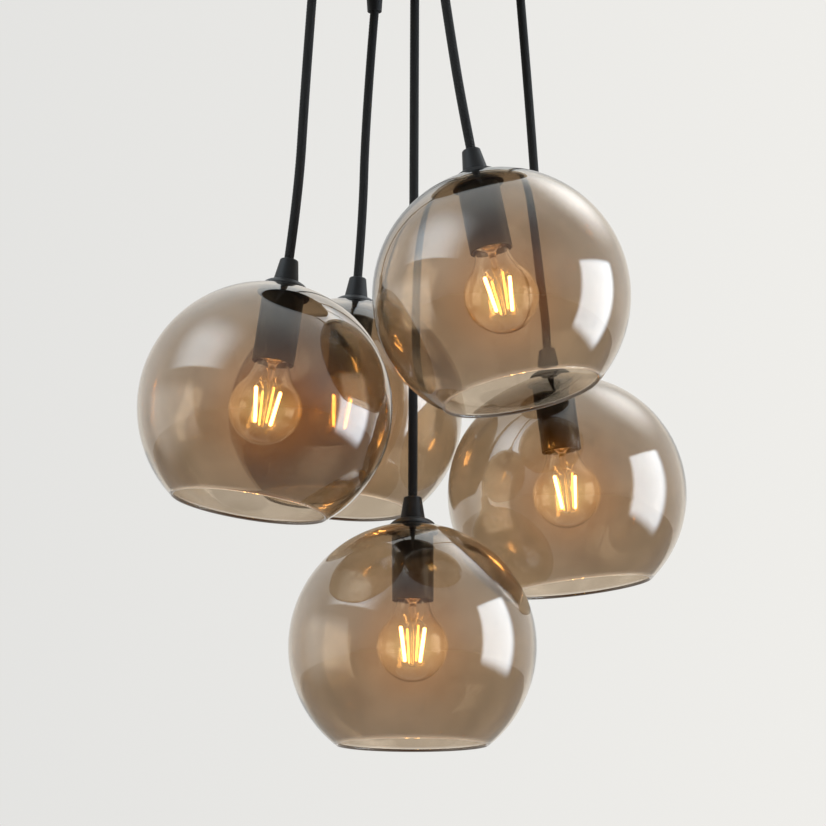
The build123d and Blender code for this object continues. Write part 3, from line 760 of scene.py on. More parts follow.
RUBBER = Coated("black_rubber", "rubber", (0.028, 0.028, 0.028), 0.7, 1200.0, 0.00005, 0.08)
WHITE_PLASTIC = Coated("white_block_plastic", "white_plastic", (0.78, 0.78, 0.74), 0.45, 1500.0, 0.00003, 0.05)
CERAMIC = Coated("glazed_ceramic", "ceramic", (0.80, 0.76, 0.68), 0.3, 700.0, 0.00004, 0.0)
SMOKE_GLASS = Glass(
    "smoke_glass",
    "smoke_glass",
    tint=(0.571, 0.468, 0.356),
    thick_tint=(0.498, 0.401, 0.296),
    unevenness=0.00005,
    shade_tint=(0.74, 0.66, 0.58),
    lip_place=0.1899,
    lip_reach=0.0045,
    # paler tint and painted glow on the lip: a painted highlight on the rim
    lip_highlight_tint=(0.80, 0.73, 0.65),
    lip_highlight_glow=(0.10, 0.078, 0.060),
    # painted warm glow where the globe's wall faces the eye, round the lit bulb
    core_glow=(0.040, 0.0125, 0.0),
    core_glow_reach=0.15,
)
CLEAR_GLASS = Glass(
    "clear_bulb_glass",
    "clear_glass",
    tint=(0.985, 0.985, 0.98),
    thick_tint=(0.97, 0.97, 0.965),
    index=1.46,
    unevenness=0.00001,
    shade_tint=(0.97, 0.97, 0.97),
    # painted glow of the filaments' light in the bulb glass, strongest near the filaments and where the glass faces
    # the eye
    lamp_glow=(0.070, 0.036, 0.006),
    lamp_glow_place=0.0365,
    lamp_glow_reach=0.030,
    profile_length=0.0735,
    core_glow=(0.140, 0.120, 0.062),
    core_glow_reach=0.24,
)
STEM_GLASS = Glass(
    "lit_stem_glass",
    "clear_glass",
    tint=(0.98, 0.97, 0.95),
    thick_tint=(0.96, 0.95, 0.92),
    index=1.46,
    unevenness=0.00006,
    shade_tint=(0.95, 0.95, 0.95),
    roughness=0.04,
    # painted glow of the filaments' light in the stem
    lamp_glow=(0.085, 0.036, 0.006),
    lamp_glow_place=0.03,
    lamp_glow_reach=0.05,
    profile_length=0.09,
)
FILAMENT = Glowing("lit_filament", "filament", PHOSPHOR, (1.0, 0.55, 0.17), 46.0)
DIM_FILAMENT = Glowing("dimmer_lit_filament", "filament", PHOSPHOR, (1.0, 0.50, 0.10), 8.0)


class Workshop:
    """Makes each finish's material once, and puts surfaces and finishes together as pieces."""

    def __init__(self) -> None:
        """Starts with no material made."""
        self.materials: dict[str, bpy.types.Material] = {}

    def dressed(self, finish: Finish) -> bpy.types.Material:
        """The finish's material, made on the first call."""
        if finish.name not in self.materials:
            self.materials[finish.name] = finish.material()
        return self.materials[finish.name]

    def piece(self, name: str, surface: Surface, finish: Finish, body: str, *stands_for: str) -> bpy.types.Object:
        """Puts a surface into a mesh object with its finish, body and the CAD nodes it stands for.

        Args:
            name: the piece's name.
            surface: its surface, already in place.
            finish: its finish.
            body: the CAD body that it moves with.
            stands_for: names of the CAD nodes that it takes the place of.

        Returns:
            The new object.
        """
        mesh = bpy.data.meshes.new(name)
        mesh.vertices.add(len(surface.points))
        mesh.vertices.foreach_set("co", surface.points.astype(np.float32).ravel())
        corners = np.concatenate([surface.quads.ravel(), surface.triangles.ravel()]).astype(np.int32)
        quad_starts = np.arange(len(surface.quads)) * 4
        triangle_starts = len(surface.quads) * 4 + np.arange(len(surface.triangles)) * 3
        starts = np.concatenate([quad_starts, triangle_starts]).astype(np.int32)
        mesh.loops.add(len(corners))
        mesh.loops.foreach_set("vertex_index", corners)
        mesh.polygons.add(len(starts))
        mesh.polygons.foreach_set("loop_start", starts)
        mesh.polygons.foreach_set("use_smooth", np.ones(len(starts), bool))
        layer = mesh.uv_layers.new(name="around_and_along")
        pairs = np.concatenate([surface.quad_uv.reshape(-1, 2), surface.triangle_uv.reshape(-1, 2)])
        layer.data.foreach_set("uv", pairs.astype(np.float32).ravel())
        mesh.update(calc_edges=True)
        mesh.validate()
        mesh.materials.append(self.dressed(finish))
        made = bpy.data.objects.new(name, mesh)
        bpy.context.scene.collection.objects.link(made)
        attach(made, body)
        if stands_for:
            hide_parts(*stands_for)
        log.info("%s: %d faces on %s", name, len(starts), body)
        return made

    def dress_node(self, node: bpy.types.Object, finish: Finish) -> None:
        """Gives a CAD node that stays in view its procedural finish."""
        material = self.dressed(finish)
        if not node.material_slots:
            node.data.materials.append(material)
        for place in node.material_slots:
            place.material = material
        log.info("%s: CAD node in %s", node.name, finish.name)


# Where the pendants hang


@dataclass(frozen=True)
class HangingFrame:
    """A pendant's own frame: its middle, and its axes as the rows of a matrix."""

    middle: Array
    axes: Array

    def place(self, surface: Surface) -> Surface:
        """Moves a surface from the pendant's frame to the row frame: middle + points times axes."""
        surface.points = self.middle + surface.points @ self.axes
        return surface

    def point(self, out: float, up: float, angle: float = 0.0) -> Array:
        """The row frame's place of a point in the pendant's frame, at an angle in degrees."""
        turn = radians(angle)
        return self.middle + np.array([out * cos(turn), out * sin(turn), up]) @ self.axes


@dataclass(frozen=True)
class Pendant:
    """Where one pendant hangs, as in the part's source, with its cord's route."""

    name: str
    place_shares: Point
    lean_right: float
    lean_away: float
    filament_turn: float
    cord_length: float
    route: tuple[Point, ...]

    def frame(self) -> HangingFrame:
        """Frame whose Z is (-tan of the lean right, -tan of the lean away, 1) made one long."""
        up = np.array([-tan(radians(self.lean_right)), -tan(radians(self.lean_away)), 1.0])
        up /= np.linalg.norm(up)
        across = np.array([1.0, 0, 0]) - up * up[0]
        across /= np.linalg.norm(across)
        middle = np.array(self.place_shares) * Globe.diameter
        return HangingFrame(middle, np.stack([across, np.cross(up, across), up]))


# The parts of one pendant


@dataclass(frozen=True)
class Globe:
    """Blown smoke glass globe: a small hole on top and a wide fire polished mouth below."""

    diameter: float = 0.156
    wall: float = 0.0022
    mouth: float = 0.094
    neck_hole: float = 0.0106
    wave: float = 0.00012
    wall_wave: float = 0.00022
    phase_step: float = 1.7
    lip_fade: tuple[float, float] = (-0.74, 0.25)
    neck_fade: tuple[float, float] = (0.975, 0.2)
    around: int = 240
    rows: int = 104

    def profile(self) -> Array:
        """Outer sphere down to the mouth, a round lip as thick as the wall, inner sphere back up."""
        outer = self.diameter / 2
        inner = outer - self.wall
        lip = self.wall / 2
        cut = np.degrees(np.arcsin(self.mouth / self.diameter)) - 90
        lip_angle = cut + np.degrees(lip / (outer - lip))
        top_outer, top_inner = (np.degrees(np.arccos(self.neck_hole / 2 / radius)) for radius in (outer, inner))
        skin = arc((0, 0), outer, top_outer, lip_angle, self.rows)
        lining = arc((0, 0), inner, lip_angle, top_inner, self.rows)
        lip_middle = (outer - lip) * np.array([cos(radians(lip_angle)), sin(radians(lip_angle))])
        bead = arc(tuple(lip_middle), lip, lip_angle, lip_angle - 180, 15)[1:-1]
        throat = np.linspace(lining[-1], skin[0], 5)[1:-1]
        return np.concatenate([skin, bead, lining, throat])

    def surface(self, seed: int) -> Surface:
        """Turned profile, sunk by slow waves so that no two globes are quite alike.

        The outside sinks by wave times (1 + sin(3 a + 4 c + p)) / 2, and the inside moves by that
        and by wall_wave times sin(2 a - 3 c + q), where a is the angle round the axis and c the
        height over the radius. Both fade out towards the lip and the neck.

        Args:
            seed: number of the globe, which sets the phases p and q.

        Returns:
            The globe in the pendant's frame.
        """
        made = turned(self.profile(), self.around)
        reach = np.linalg.norm(made.points, axis=1)
        up = made.points[:, 2] / reach
        angle = np.arctan2(made.points[:, 1], made.points[:, 0])
        fade = np.clip((up - self.lip_fade[0]) / self.lip_fade[1], 0, 1)
        fade = fade * np.clip((self.neck_fade[0] - up) / self.neck_fade[1], 0, 1)
        phase = self.phase_step * seed
        sink = self.wave * (1 + np.sin(3 * angle + 4 * up + phase)) / 2
        depth = np.clip((self.diameter / 2 - reach) / self.wall, 0, 1)
        lining = self.wall_wave * np.sin(2 * angle - 3 * up + 2 * phase) * depth
        factor = 1 - fade * (sink + lining) / reach
        made.points = made.points * factor[:, None]
        return made


@dataclass(frozen=True)
class Stack:
    """Cap, grip, fixings and lampholder sleeve on one pendant's axis, heights from its globe's middle."""

    cap_diameter: float = 0.0284
    cap_edge: float = 0.0010
    cap_rise: float = 0.00345
    cap_bulge: float = 0.0005
    cap_flat: float = 0.0172
    cap_wall: float = 0.0014
    cap_edge_width: float = 0.0015
    seat_gap: float = 0.00005
    grip_length: float = 0.0139
    grip_base: float = 0.0155
    grip_top: float = 0.0114
    grip_chamfer: float = 0.0006
    grip_thread_depth: float = 0.0073
    cord_bore: float = 0.0064
    nipple_diameter: float = 0.010
    nipple_bore: float = 0.0068
    nipple_stand: float = 0.007
    nipple_drop: float = 0.0114
    thread_pitch: float = 0.001
    thread_depth: float = 0.00025
    washer_diameter: float = 0.0325
    washer_thickness: float = 0.0015
    seal_diameter: float = 0.030
    seal_edge: float = 0.00085
    sleeve_diameter: float = 0.026
    sleeve_wall: float = 0.0014
    sleeve_web: float = 0.002
    sleeve_length: float = 0.0429
    nut_width: float = 0.014
    nut_height: float = 0.0035
    nut_bevel: float = 1.07
    nut_around: int = 96
    hole_gap: float = 0.00015

    @property
    def cap_seat(self) -> float:
        """Height of the cap's edge on the glass."""
        return sphere_height(Globe.diameter / 2, self.cap_diameter / 2) + self.seat_gap

    @property
    def cap_top(self) -> float:
        """Height of the cap's flat top."""
        return self.cap_seat + self.cap_edge + self.cap_rise

    @property
    def washer_top(self) -> float:
        """Height of the clamp washer's upper face."""
        return sphere_height(self.seal_radius, self.seal_diameter / 2) - self.seal_edge

    @property
    def seal_radius(self) -> float:
        """Radius of the seal's upper face, which follows the glass."""
        return Globe.diameter / 2 - Globe.wall - self.seat_gap

    @property
    def hole(self) -> float:
        """Radius of the holes that the nipple goes through."""
        return self.nipple_diameter / 2 + self.hole_gap

    @property
    def thread(self) -> float:
        """Radius of the threads that the nipple goes into."""
        return self.nipple_diameter / 2 + self.seat_gap

    @property
    def sleeve_top(self) -> float:
        """Height of the sleeve's upper end, under the washer."""
        return self.washer_top - self.washer_thickness

    def cap(self) -> Surface:
        """Domed saucer: a short upright edge, a shallow dome and a flat top, sheet metal thick."""
        edge, flat = self.cap_diameter / 2, self.cap_flat / 2
        hole = self.hole
        lip = edge - self.cap_edge_width
        lip_seat = sphere_height(Globe.diameter / 2, lip) + self.seat_gap
        foot = np.array([edge, self.cap_seat + self.cap_edge])
        top = np.array([flat, self.cap_top])
        share = np.linspace(0, 1, 13)[1:-1, None]
        chord = top - foot
        square = np.array([chord[1], -chord[0]]) / np.linalg.norm(chord)
        dome = foot + chord * share + square * 4 * self.cap_bulge * share * (1 - share)
        rim = [(edge, self.cap_seat, 0.0003), (*foot, 0.0004)]
        crown = [(*top, 0.0009), (hole, self.cap_top, 0.0002)]
        under = self.cap_top - self.cap_wall
        inside = [(hole, under, 0.0002), (flat, under, 0.0006), (lip, lip_seat, 0.0002)]
        return turned(rounded(rim + [(*place, 0.0001) for place in dome] + crown + inside, steps=5), 120)

    def grip(self) -> Surface:
        """Conical grip: wide at its foot, bevelled at its tip, bored for the cord."""
        base, tip = self.grip_base / 2, self.grip_top / 2
        low, high = self.cap_top, self.cap_top + self.grip_length
        thread = self.thread
        bore = self.cord_bore / 2
        shoulder = low + self.grip_thread_depth
        corners = [
            (thread, low, 0.0002),
            (base, low, 0.0002),
            (base, low + self.grip_chamfer, 0.0003),
            (tip, high - self.grip_chamfer, 0.0003),
            (tip - self.grip_chamfer, high, 0.0003),
            (bore, high, 0.0003),
            (bore, shoulder, 0.0001),
            (thread, shoulder, 0.0001),
        ]
        return turned(rounded(corners), 96)

    def nipple(self) -> Surface:
        """Hollow threaded nipple: its thread is a row of small turned ridges, eight rows of points to each."""
        low, high = self.sleeve_top - self.nipple_drop, self.cap_top + self.nipple_stand
        bore, reach = self.nipple_bore / 2, self.nipple_diameter / 2
        height = np.linspace(low, high, 8 * int((high - low) / self.thread_pitch) + 1)
        ridge = reach - self.thread_depth * (1 - np.cos(TURN * (height - low) / self.thread_pitch)) / 2
        outside = np.stack([ridge, height], axis=-1)
        inside = np.array([[bore, high], [bore, (low + high) / 2], [bore, low]])
        return turned(np.concatenate([outside, inside]), 64)

    def washer(self) -> Surface:
        """Clamp washer with softly rounded edges."""
        hole, edge = self.hole, self.washer_diameter / 2
        low, high = self.sleeve_top, self.washer_top
        corners = [(hole, low, 0.0002), (edge, low, 0.0005), (edge, high, 0.0005), (hole, high, 0.0002)]
        return turned(rounded(corners), 96)

    def seal(self) -> Surface:
        """Soft seal between washer and glass: flat below, and above it follows the glass."""
        hole, edge, low = self.hole, self.seal_diameter / 2, self.washer_top
        out = np.linspace(hole, edge, 12)
        crown = np.stack([out, np.sqrt(self.seal_radius**2 - out**2)], axis=-1)
        foot = np.array([[edge, low], [(hole + edge) / 2, low], [hole, low]])
        return turned(np.concatenate([crown, foot]), 96)

    def lock_nut(self) -> Surface:
        """Hexagon nut under the sleeve's web, its corners bevelled by a circle.

        Its reach at an angle a is half its width over cos b, where b is a within its sixth of the
        turn, counted from the sixth's middle.
        """
        high = self.sleeve_top - self.sleeve_web - self.seat_gap
        low = high - self.nut_height + self.seat_gap
        angle = np.arange(self.nut_around) * TURN / self.nut_around
        flat = np.zeros(self.nut_around)
        reach = self.nut_width / 2 / np.cos(angle % (TURN / 6) - TURN / 12)
        bevelled = np.minimum(reach, self.nut_width / 2 * self.nut_bevel)
        bore = flat + self.thread
        rows = [(bore, low), (bore + 0.0001, low), (bevelled - 0.0001, low), (bevelled, low + 0.0001)]
        rows += [(reach, low + 0.0005), (reach, low + 0.0006)]
        rows += [(out, low + high - up) for out, up in rows[::-1]]
        rings = [np.stack([out * np.cos(angle), out * np.sin(angle), flat + up], axis=-1) for out, up in rows]
        return skinned(np.array(rings), np.linspace(0, 0.02, len(rows)), loop=True)

    def sleeve(self) -> Surface:
        """Lampholder sleeve: a tube with a web on top and softly rounded ends."""
        outer = self.sleeve_diameter / 2
        inner = outer - self.sleeve_wall
        low = self.sleeve_top - self.sleeve_length
        web = self.sleeve_top - self.sleeve_web
        hole = self.hole
        corners = [
            (hole, self.sleeve_top, 0.0002),
            (outer, self.sleeve_top, 0.0008),
            (outer, low, 0.0006),
            (inner, low, 0.0006),
            (inner, web, 0.0005),
            (hole, web, 0.0002),
        ]
        return turned(rounded(corners, steps=8), 128)


@dataclass(frozen=True)
class Bulb:
    """Clear golf ball bulb with its stem, filament rods and wires, heights from its middle."""

    diameter: float = 0.045
    wall: float = 0.0009
    neck: float = 0.0206
    neck_foot: float = 0.0322
    neck_depth: float = 0.0016
    shoulder_angle: float = 41.5
    flare_gap: float = 0.00005
    flare_height: float = 0.0336
    flare_wall: float = 0.0008
    waist: float = 0.005
    waist_height: float = 0.027
    pinch: float = 0.004
    pinch_height: float = 0.017
    pinch_top: float = 0.022
    rod: float = 0.0014
    rod_foot: float = -0.0126
    filaments: int = 4
    filament: float = 0.0019
    filament_gap: float = 0.0012
    bright_width: float = 1.2
    dim_width: float = 0.7
    pin_length: float = 0.0018
    pin_radius: float = 0.00045
    filament_top: tuple[float, float] = (0.0086, 0.014)
    filament_foot: tuple[float, float] = (0.0050, -0.011)
    wire: float = 0.0005

    def outline(self, inset: float, count: int) -> Array:
        """Sphere from its lowest point to the shoulder, then an arc tangent to it, then the neck.

        The tangent arc's middle stands square to the line at the shoulder, at the distance
        |d| squared / (2 d . n) for the step d to the neck's foot and the square direction n.

        Args:
            inset: how far the outline is moved in.
            count: number of points on the sphere.

        Returns:
            Rows of (out, up), from the axis to the neck's end.
        """
        radius, neck = self.diameter / 2 - inset, self.neck / 2 - inset
        belly = arc((0, 0), radius, -90, self.shoulder_angle, count)
        belly[0, 0] = 0.0
        turn = radians(self.shoulder_angle)
        inward = -np.array([cos(turn), sin(turn)])
        foot = np.array([neck, self.neck_foot])
        step = foot - belly[-1]
        reach = (step @ step) / (2 * step @ inward)
        throat = bend(belly[-1] + inward * reach, abs(reach), belly[-1], foot, 16)[1:]
        return np.concatenate([belly, throat, [[neck, self.neck_foot + self.neck_depth]]])

    def glass(self) -> Surface:
        """Thin shell between two outlines, closed at the neck's end and at both lowest points."""
        return turned(np.concatenate([self.outline(0, 60), self.outline(self.wall, 60)[::-1]]), 144)

    def stem(self) -> Surface:
        """Glass stem: a centre rod, a pinched waist, and a thin flare that opens to the neck."""
        flare = self.neck / 2 - self.wall - self.flare_gap
        rod, pinch, waist = self.rod / 2, self.pinch / 2, self.waist / 2
        share = np.linspace(0, 1, 14)[1:, None]
        skirt_foot = np.array([waist, self.waist_height])
        skirt = skirt_foot + (np.array([flare, self.flare_height]) - skirt_foot) * np.hstack([share**1.5, share])
        lining = (skirt - np.array([self.flare_wall, 0]))[::-1]
        lining[:, 0] = np.maximum(lining[:, 0], 0.0006)
        tip = arc((0, self.rod_foot + rod), rod, -90, 0, 7)
        tip[0, 0] = 0.0
        body = np.array([[rod, self.pinch_height - 0.0012], [1.3 * rod, self.pinch_height - 0.0005]])
        column = np.array([[pinch, self.pinch_height + 0.0005], [pinch, self.pinch_top], [waist, self.waist_height]])
        pit = np.array([[0.0, self.waist_height + 0.0008]])
        return turned(np.concatenate([tip, body, column, skirt, lining, pit]), 72)

    def angles(self, first_angle: float) -> list[float]:
        """The filament rods' angles round the axis, in degrees."""
        return [first_angle + index * 360 / self.filaments for index in range(self.filaments)]

    def rods(self, frame: HangingFrame, first_angle: float) -> tuple[Surface, Surface, Surface]:
        """The filament rods, every other one on the same string, and the short metal pins at their ends.

        Args:
            frame: the pendant's frame.
            first_angle: angle of the first rod in degrees.

        Returns:
            The bright string's rods, the dimmer string's rods and the pins, in the row frame.
        """
        strings: tuple[list[Surface], list[Surface]] = ([], [])
        pins = []
        for index, angle in enumerate(self.angles(first_angle)):
            high, low = frame.point(*self.filament_top, angle), frame.point(*self.filament_foot, angle)
            ahead = (high - low) / np.linalg.norm(high - low)
            reach = self.filament / 2 * (self.dim_width if index % 2 else self.bright_width)
            gap, pin = ahead * self.filament_gap, ahead * self.pin_length
            strings[index % 2].append(capsule(low + gap, high - gap, reach))
            pins.append(capsule(low, low + pin, self.pin_radius, 12, 4))
            pins.append(capsule(high - pin, high, self.pin_radius, 12, 4))
        return joined(strings[0]), joined(strings[1]), joined(pins)

    def wires(self, frame: HangingFrame, first_angle: float) -> Surface:
        """Fine wires: each rod's top to the stem's pinch, and each rod's foot to the centre rod.

        Args:
            frame: the pendant's frame.
            first_angle: angle of the first rod in degrees.

        Returns:
            The wires, in the row frame.
        """
        made = []
        for angle in self.angles(first_angle):
            high, low = frame.point(*self.filament_top, angle), frame.point(*self.filament_foot, angle)
            lead = frame.point(self.pinch / 2 - 0.0004, self.pinch_height + 0.0004, angle)
            elbow = frame.point(0.0058, self.pinch_height - 0.0004, angle)
            hook = frame.point(0.0, self.rod_foot + self.wire, angle)
            knee = frame.point(0.0026, self.rod_foot + 0.0005, angle)
            for line in (curved_line([high, elbow, lead], 14), curved_line([hook, knee, low], 12)):
                made.append(tube(line, self.wire / 2, 12))
        return joined(made)


@dataclass(frozen=True)
class Cord:
    """Round textile cord: a braid with real relief on the smooth line of its route."""

    diameter: float = 0.006
    relief: float = 0.00016
    around: int = 72
    step: float = 0.0006

    def line(self, name: str, route: tuple[Point, ...]) -> Array:
        """Evenly spaced points on the NURBS spline whose control points are the route's points.

        Args:
            name: name of the curve while it is read.
            route: the route's points.

        Returns:
            The points that the cord follows.
        """
        curve = bpy.data.curves.new(name, "CURVE")
        curve.dimensions = "3D"
        curve.resolution_u = 48
        spline = curve.splines.new("NURBS")
        spline.points.add(len(route) - 1)
        spline.points.foreach_set("co", np.hstack([np.array(route), np.ones((len(route), 1))]).ravel())
        spline.order_u = 3
        spline.use_endpoint_u = True
        holder = bpy.data.objects.new(name, curve)
        bpy.context.scene.collection.objects.link(holder)
        bpy.context.view_layer.update()
        mesh = bpy.data.meshes.new_from_object(holder)
        found = np.empty(len(mesh.vertices) * 3, np.float32)
        mesh.vertices.foreach_get("co", found)
        bpy.data.objects.remove(holder)
        bpy.data.curves.remove(curve)
        bpy.data.meshes.remove(mesh)
        points = found.reshape(-1, 3).astype(float)
        along = profile_length(points)
        even = np.linspace(0, along[-1], int(along[-1] / self.step))
        return np.stack([np.interp(even, along, points[:, axis]) for axis in range(3)], axis=-1)

    def surface(self, line: Array) -> Surface:
        """Tube with round ends, sunk between the yarns, its upper end round about the route's start.

        With a = n (u + v / lead) and b = n (u - v / lead), the sum of the whole parts of a and b
        is even where the first hand's yarn is on top. The surface there sinks by the relief times
        1 - sin(pi times the place across the yarn), the same formula as the braid in its finish.

        Args:
            line: the points that the cord follows.

        Returns:
            The cord's surface.
        """
        radius = self.diameter / 2
        ahead = (line[1] - line[0]) / np.linalg.norm(line[1] - line[0])
        line = np.concatenate([line[0] - ahead * np.linspace(radius, 0, 9)[:-1, None], line])
        along = profile_length(line)[:, None]
        turns = (np.arange(self.around) / self.around)[None, :]
        first = CORD_YARNS * (turns + along / CORD_LEAD)
        second = CORD_YARNS * (turns - along / CORD_LEAD)
        on_top = (np.floor(first) + np.floor(second)) % 2 == 0
        across = np.where(on_top, first % 1, second % 1)
        sink = self.relief * (np.sin(pi * across) - 1)
        ends = np.minimum(along, along[-1] - along).ravel()
        reach = radius * np.sqrt(1 - (1 - np.clip(ends / radius, 0.02, 1)) ** 2)
        return tube(line, reach, self.around, sink * np.clip(ends / radius, 0, 1)[:, None])


class PendantBuilder:
    """Builds and dresses one pendant: cord, cap, grip, globe, lampholder and bulb."""

    def __init__(self, workshop: Workshop, pendant: Pendant, number: int) -> None:
        """Keeps the pendant, its frame and its number."""
        self.workshop = workshop
        self.pendant = pendant
        self.number = number
        self.frame = pendant.frame()

    def add(self, part: str, surface: Surface, finish: Finish, body: str, *nodes: str) -> bpy.types.Object:
        """Adds one piece of this pendant, its names led by the pendant's name.

        Args:
            part: the piece's own name.
            surface: its surface, already in place.
            finish: its finish.
            body: its CAD body, without the pendant's name.
            nodes: the CAD nodes that it stands for, without the pendant's name.

        Returns:
            The piece.
        """
        name = self.pendant.name
        stands_for = [f"{name}_{node}" for node in nodes]
        return self.workshop.piece(f"{name}_{part}", surface, finish, f"{name}_{body}", *stands_for)

    def build_cord(self) -> None:
        """The cord, from the canopy's grip into the globe's grip."""
        cord = Cord()
        line = cord.line(f"{self.pendant.name}_route", self.pendant.route)
        made = self.add("textile_cord", cord.surface(line), CORD_BRAID, "cord", "cord")

    def build_stack(self) -> None:
        """Cap, grip, globe, fixings and sleeve."""
        stack = Stack()
        place = self.frame.place
        self.add("grip_cone", place(stack.grip()), GRIP_PLASTIC, "pendant", "cord_grip")
        self.add("saucer_cap", place(stack.cap()), CAP_COAT, "pendant", "top_cap")
        self.add("glass_globe", place(Globe().surface(self.number)), SMOKE_GLASS, "pendant", "shade")
        self.add("nipple", place(stack.nipple()), ZINC, "pendant", "shade_fixings")
        self.add("clamp_washer", place(stack.washer()), FIXING_STEEL, "pendant")
        self.add("glass_seal", place(stack.seal()), RUBBER, "pendant")
        self.add("lock_nut", place(stack.lock_nut()), ZINC, "pendant")
        self.add("lamp_sleeve", place(stack.sleeve()), SLEEVE_COAT, "pendant", "holder_sleeve")

    def build_bulb(self) -> None:
        """Bulb glass, stem, filament rods, pins and wires."""
        bulb = Bulb()
        turn = self.pendant.filament_turn
        bright, dim, pins = bulb.rods(self.frame, turn)
        self.add("bulb_globe", self.frame.place(bulb.glass()), CLEAR_GLASS, "bulb", "bulb_glass")
        self.add("stem_glass", self.frame.place(bulb.stem()), STEM_GLASS, "bulb", "bulb_filaments")
        self.add("filament_rods", bright, FILAMENT, "bulb")
        self.add("dimmer_filament_rods", dim, DIM_FILAMENT, "bulb")
        self.add("filament_pins", joined([pins, bulb.wires(self.frame, turn)]), NICKEL, "bulb")

    def dress_hidden(self, nodes: dict[str, bpy.types.Object]) -> None:
        """Finishes for the CAD nodes of this pendant that stay."""
        self.workshop.dress_node(nodes[f"{self.pendant.name}_socket"], CERAMIC)
        self.workshop.dress_node(nodes[f"{self.pendant.name}_bulb_cap"], NICKEL)

    def build(self, nodes: dict[str, bpy.types.Object]) -> None:
        """Builds every piece of the pendant."""
        log.info("pendant %s", self.pendant.name)
        self.build_cord()
        self.build_stack()
        self.build_bulb()
        self.dress_hidden(nodes)


# The canopy group


@dataclass(frozen=True)
class Canopy:
    """Cover and cord grips on the ceiling side, with the finishes of the CAD nodes that stay."""

    outlets: tuple[tuple[float, float], ...]
    grip_tip: float = 0.0098
    grip_base: float = 0.0118
    flange: float = 0.015
    flange_height: float = 0.002
    grip_length: float = 0.018
    exit_height: float = -0.044
    bore: float = 0.0031
    seat: float = 0.0035
    stem: float = 0.005
    stem_top: float = -0.0198

    def grip(self, outlet: tuple[float, float]) -> Surface:
        """Slim cone, in the row frame, with a flange, a round seat at its tip and a threaded stem."""
        low, high = self.exit_height, self.exit_height + self.grip_length
        seat_top = low + sphere_height(self.seat, self.bore)
        tip, base, flange = self.grip_tip / 2, self.grip_base / 2, self.flange / 2
        corners = [
            (self.seat, low, 0.0002),
            (tip, low, 0.0004),
            (base, high - self.flange_height, 0.0003),
            (flange, high - self.flange_height, 0.0003),
            (flange, high, 0.0002),
            (self.stem, high, 0.0001),
            (self.stem, self.stem_top, 0.0003),
            (self.bore, self.stem_top, 0.0003),
            (self.bore, seat_top, 0.0001),
        ]
        made = turned(rounded(corners), 72)
        made.points = made.points + np.array([outlet[0], outlet[1], 0])
        return made

    def build(self, workshop: Workshop, nodes: dict[str, bpy.types.Object]) -> None:
        """Builds the five grips as one piece and dresses the CAD nodes of the canopy."""
        grips = joined([self.grip(outlet) for outlet in self.outlets])
        workshop.piece("canopy_cord_grips", grips, GRIP_PLASTIC, "canopy", "upper_cord_grips")
        finishes = {
            "canopy_cover": CANOPY_COAT,
            "ceiling_bracket": ZINC,
            "canopy_screws": SCREW_STEEL,
            "grip_nuts": ZINC,
            "terminal_block": WHITE_PLASTIC,
            "terminal_screws": ZINC,
            "canopy_leads": LEAD_COVER,
            "earth_screw": BRASS,
            "supply_grommet": RUBBER,
        }
        for name, finish in finishes.items():
            workshop.dress_node(nodes[name], finish)


# The studio


@dataclass(frozen=True)
class SoftBox:
    """One soft lamp: where it stands, seen from the cluster, its size and its light."""

    name: str
    place: Point
    aim: Point
    width: float
    height: float
    power: float
    colour: Colour
    fades: tuple[float, float, float, float]

    def soften(self, lamp: bpy.types.Light) -> None:
        """Fades the lamp's light towards its left, right, lower and upper edge, in shares of its size."""
        lamp.use_nodes = True
        bench = NodeBench(lamp.node_tree)
        places = bench.parts(bench.add("NewGeometry").outputs["Parametric"])
        share = None
        for index, fade in enumerate(self.fades):
            place = places[index // 2]
            place = bench.math("SUBTRACT", 1.0, place) if index % 2 else place
            ramp = bench.ramp(place, 0.0, fade, smooth=True)
            share = ramp if share is None else bench.math("MULTIPLY", share, ramp)
        bench.feed(lamp.node_tree.nodes["Emission"], {"Strength": share})

    def build(self) -> None:
        """Adds the lamp, turned to face its aim, and keeps it out of the camera's sight."""
        lamp = bpy.data.lights.new(self.name, "AREA")
        lamp.shape = "RECTANGLE"
        lamp.size, lamp.size_y = self.width, self.height
        lamp.energy = self.power
        lamp.color = self.colour
        made = bpy.data.objects.new(self.name, lamp)
        bpy.context.scene.collection.objects.link(made)
        ahead = np.array(self.aim) - np.array(self.place)
        ahead /= np.linalg.norm(ahead)
        back = -ahead
        across = np.cross([0.0, 0, 1], back)
        across /= np.linalg.norm(across)
        matrix = np.eye(4)
        matrix[:3, :3] = np.stack([across, np.cross(back, across), back], axis=-1)
        matrix[:3, 3] = self.place
        made.matrix_world = Matrix(matrix.tolist())
        made.visible_camera = False
        self.soften(lamp)


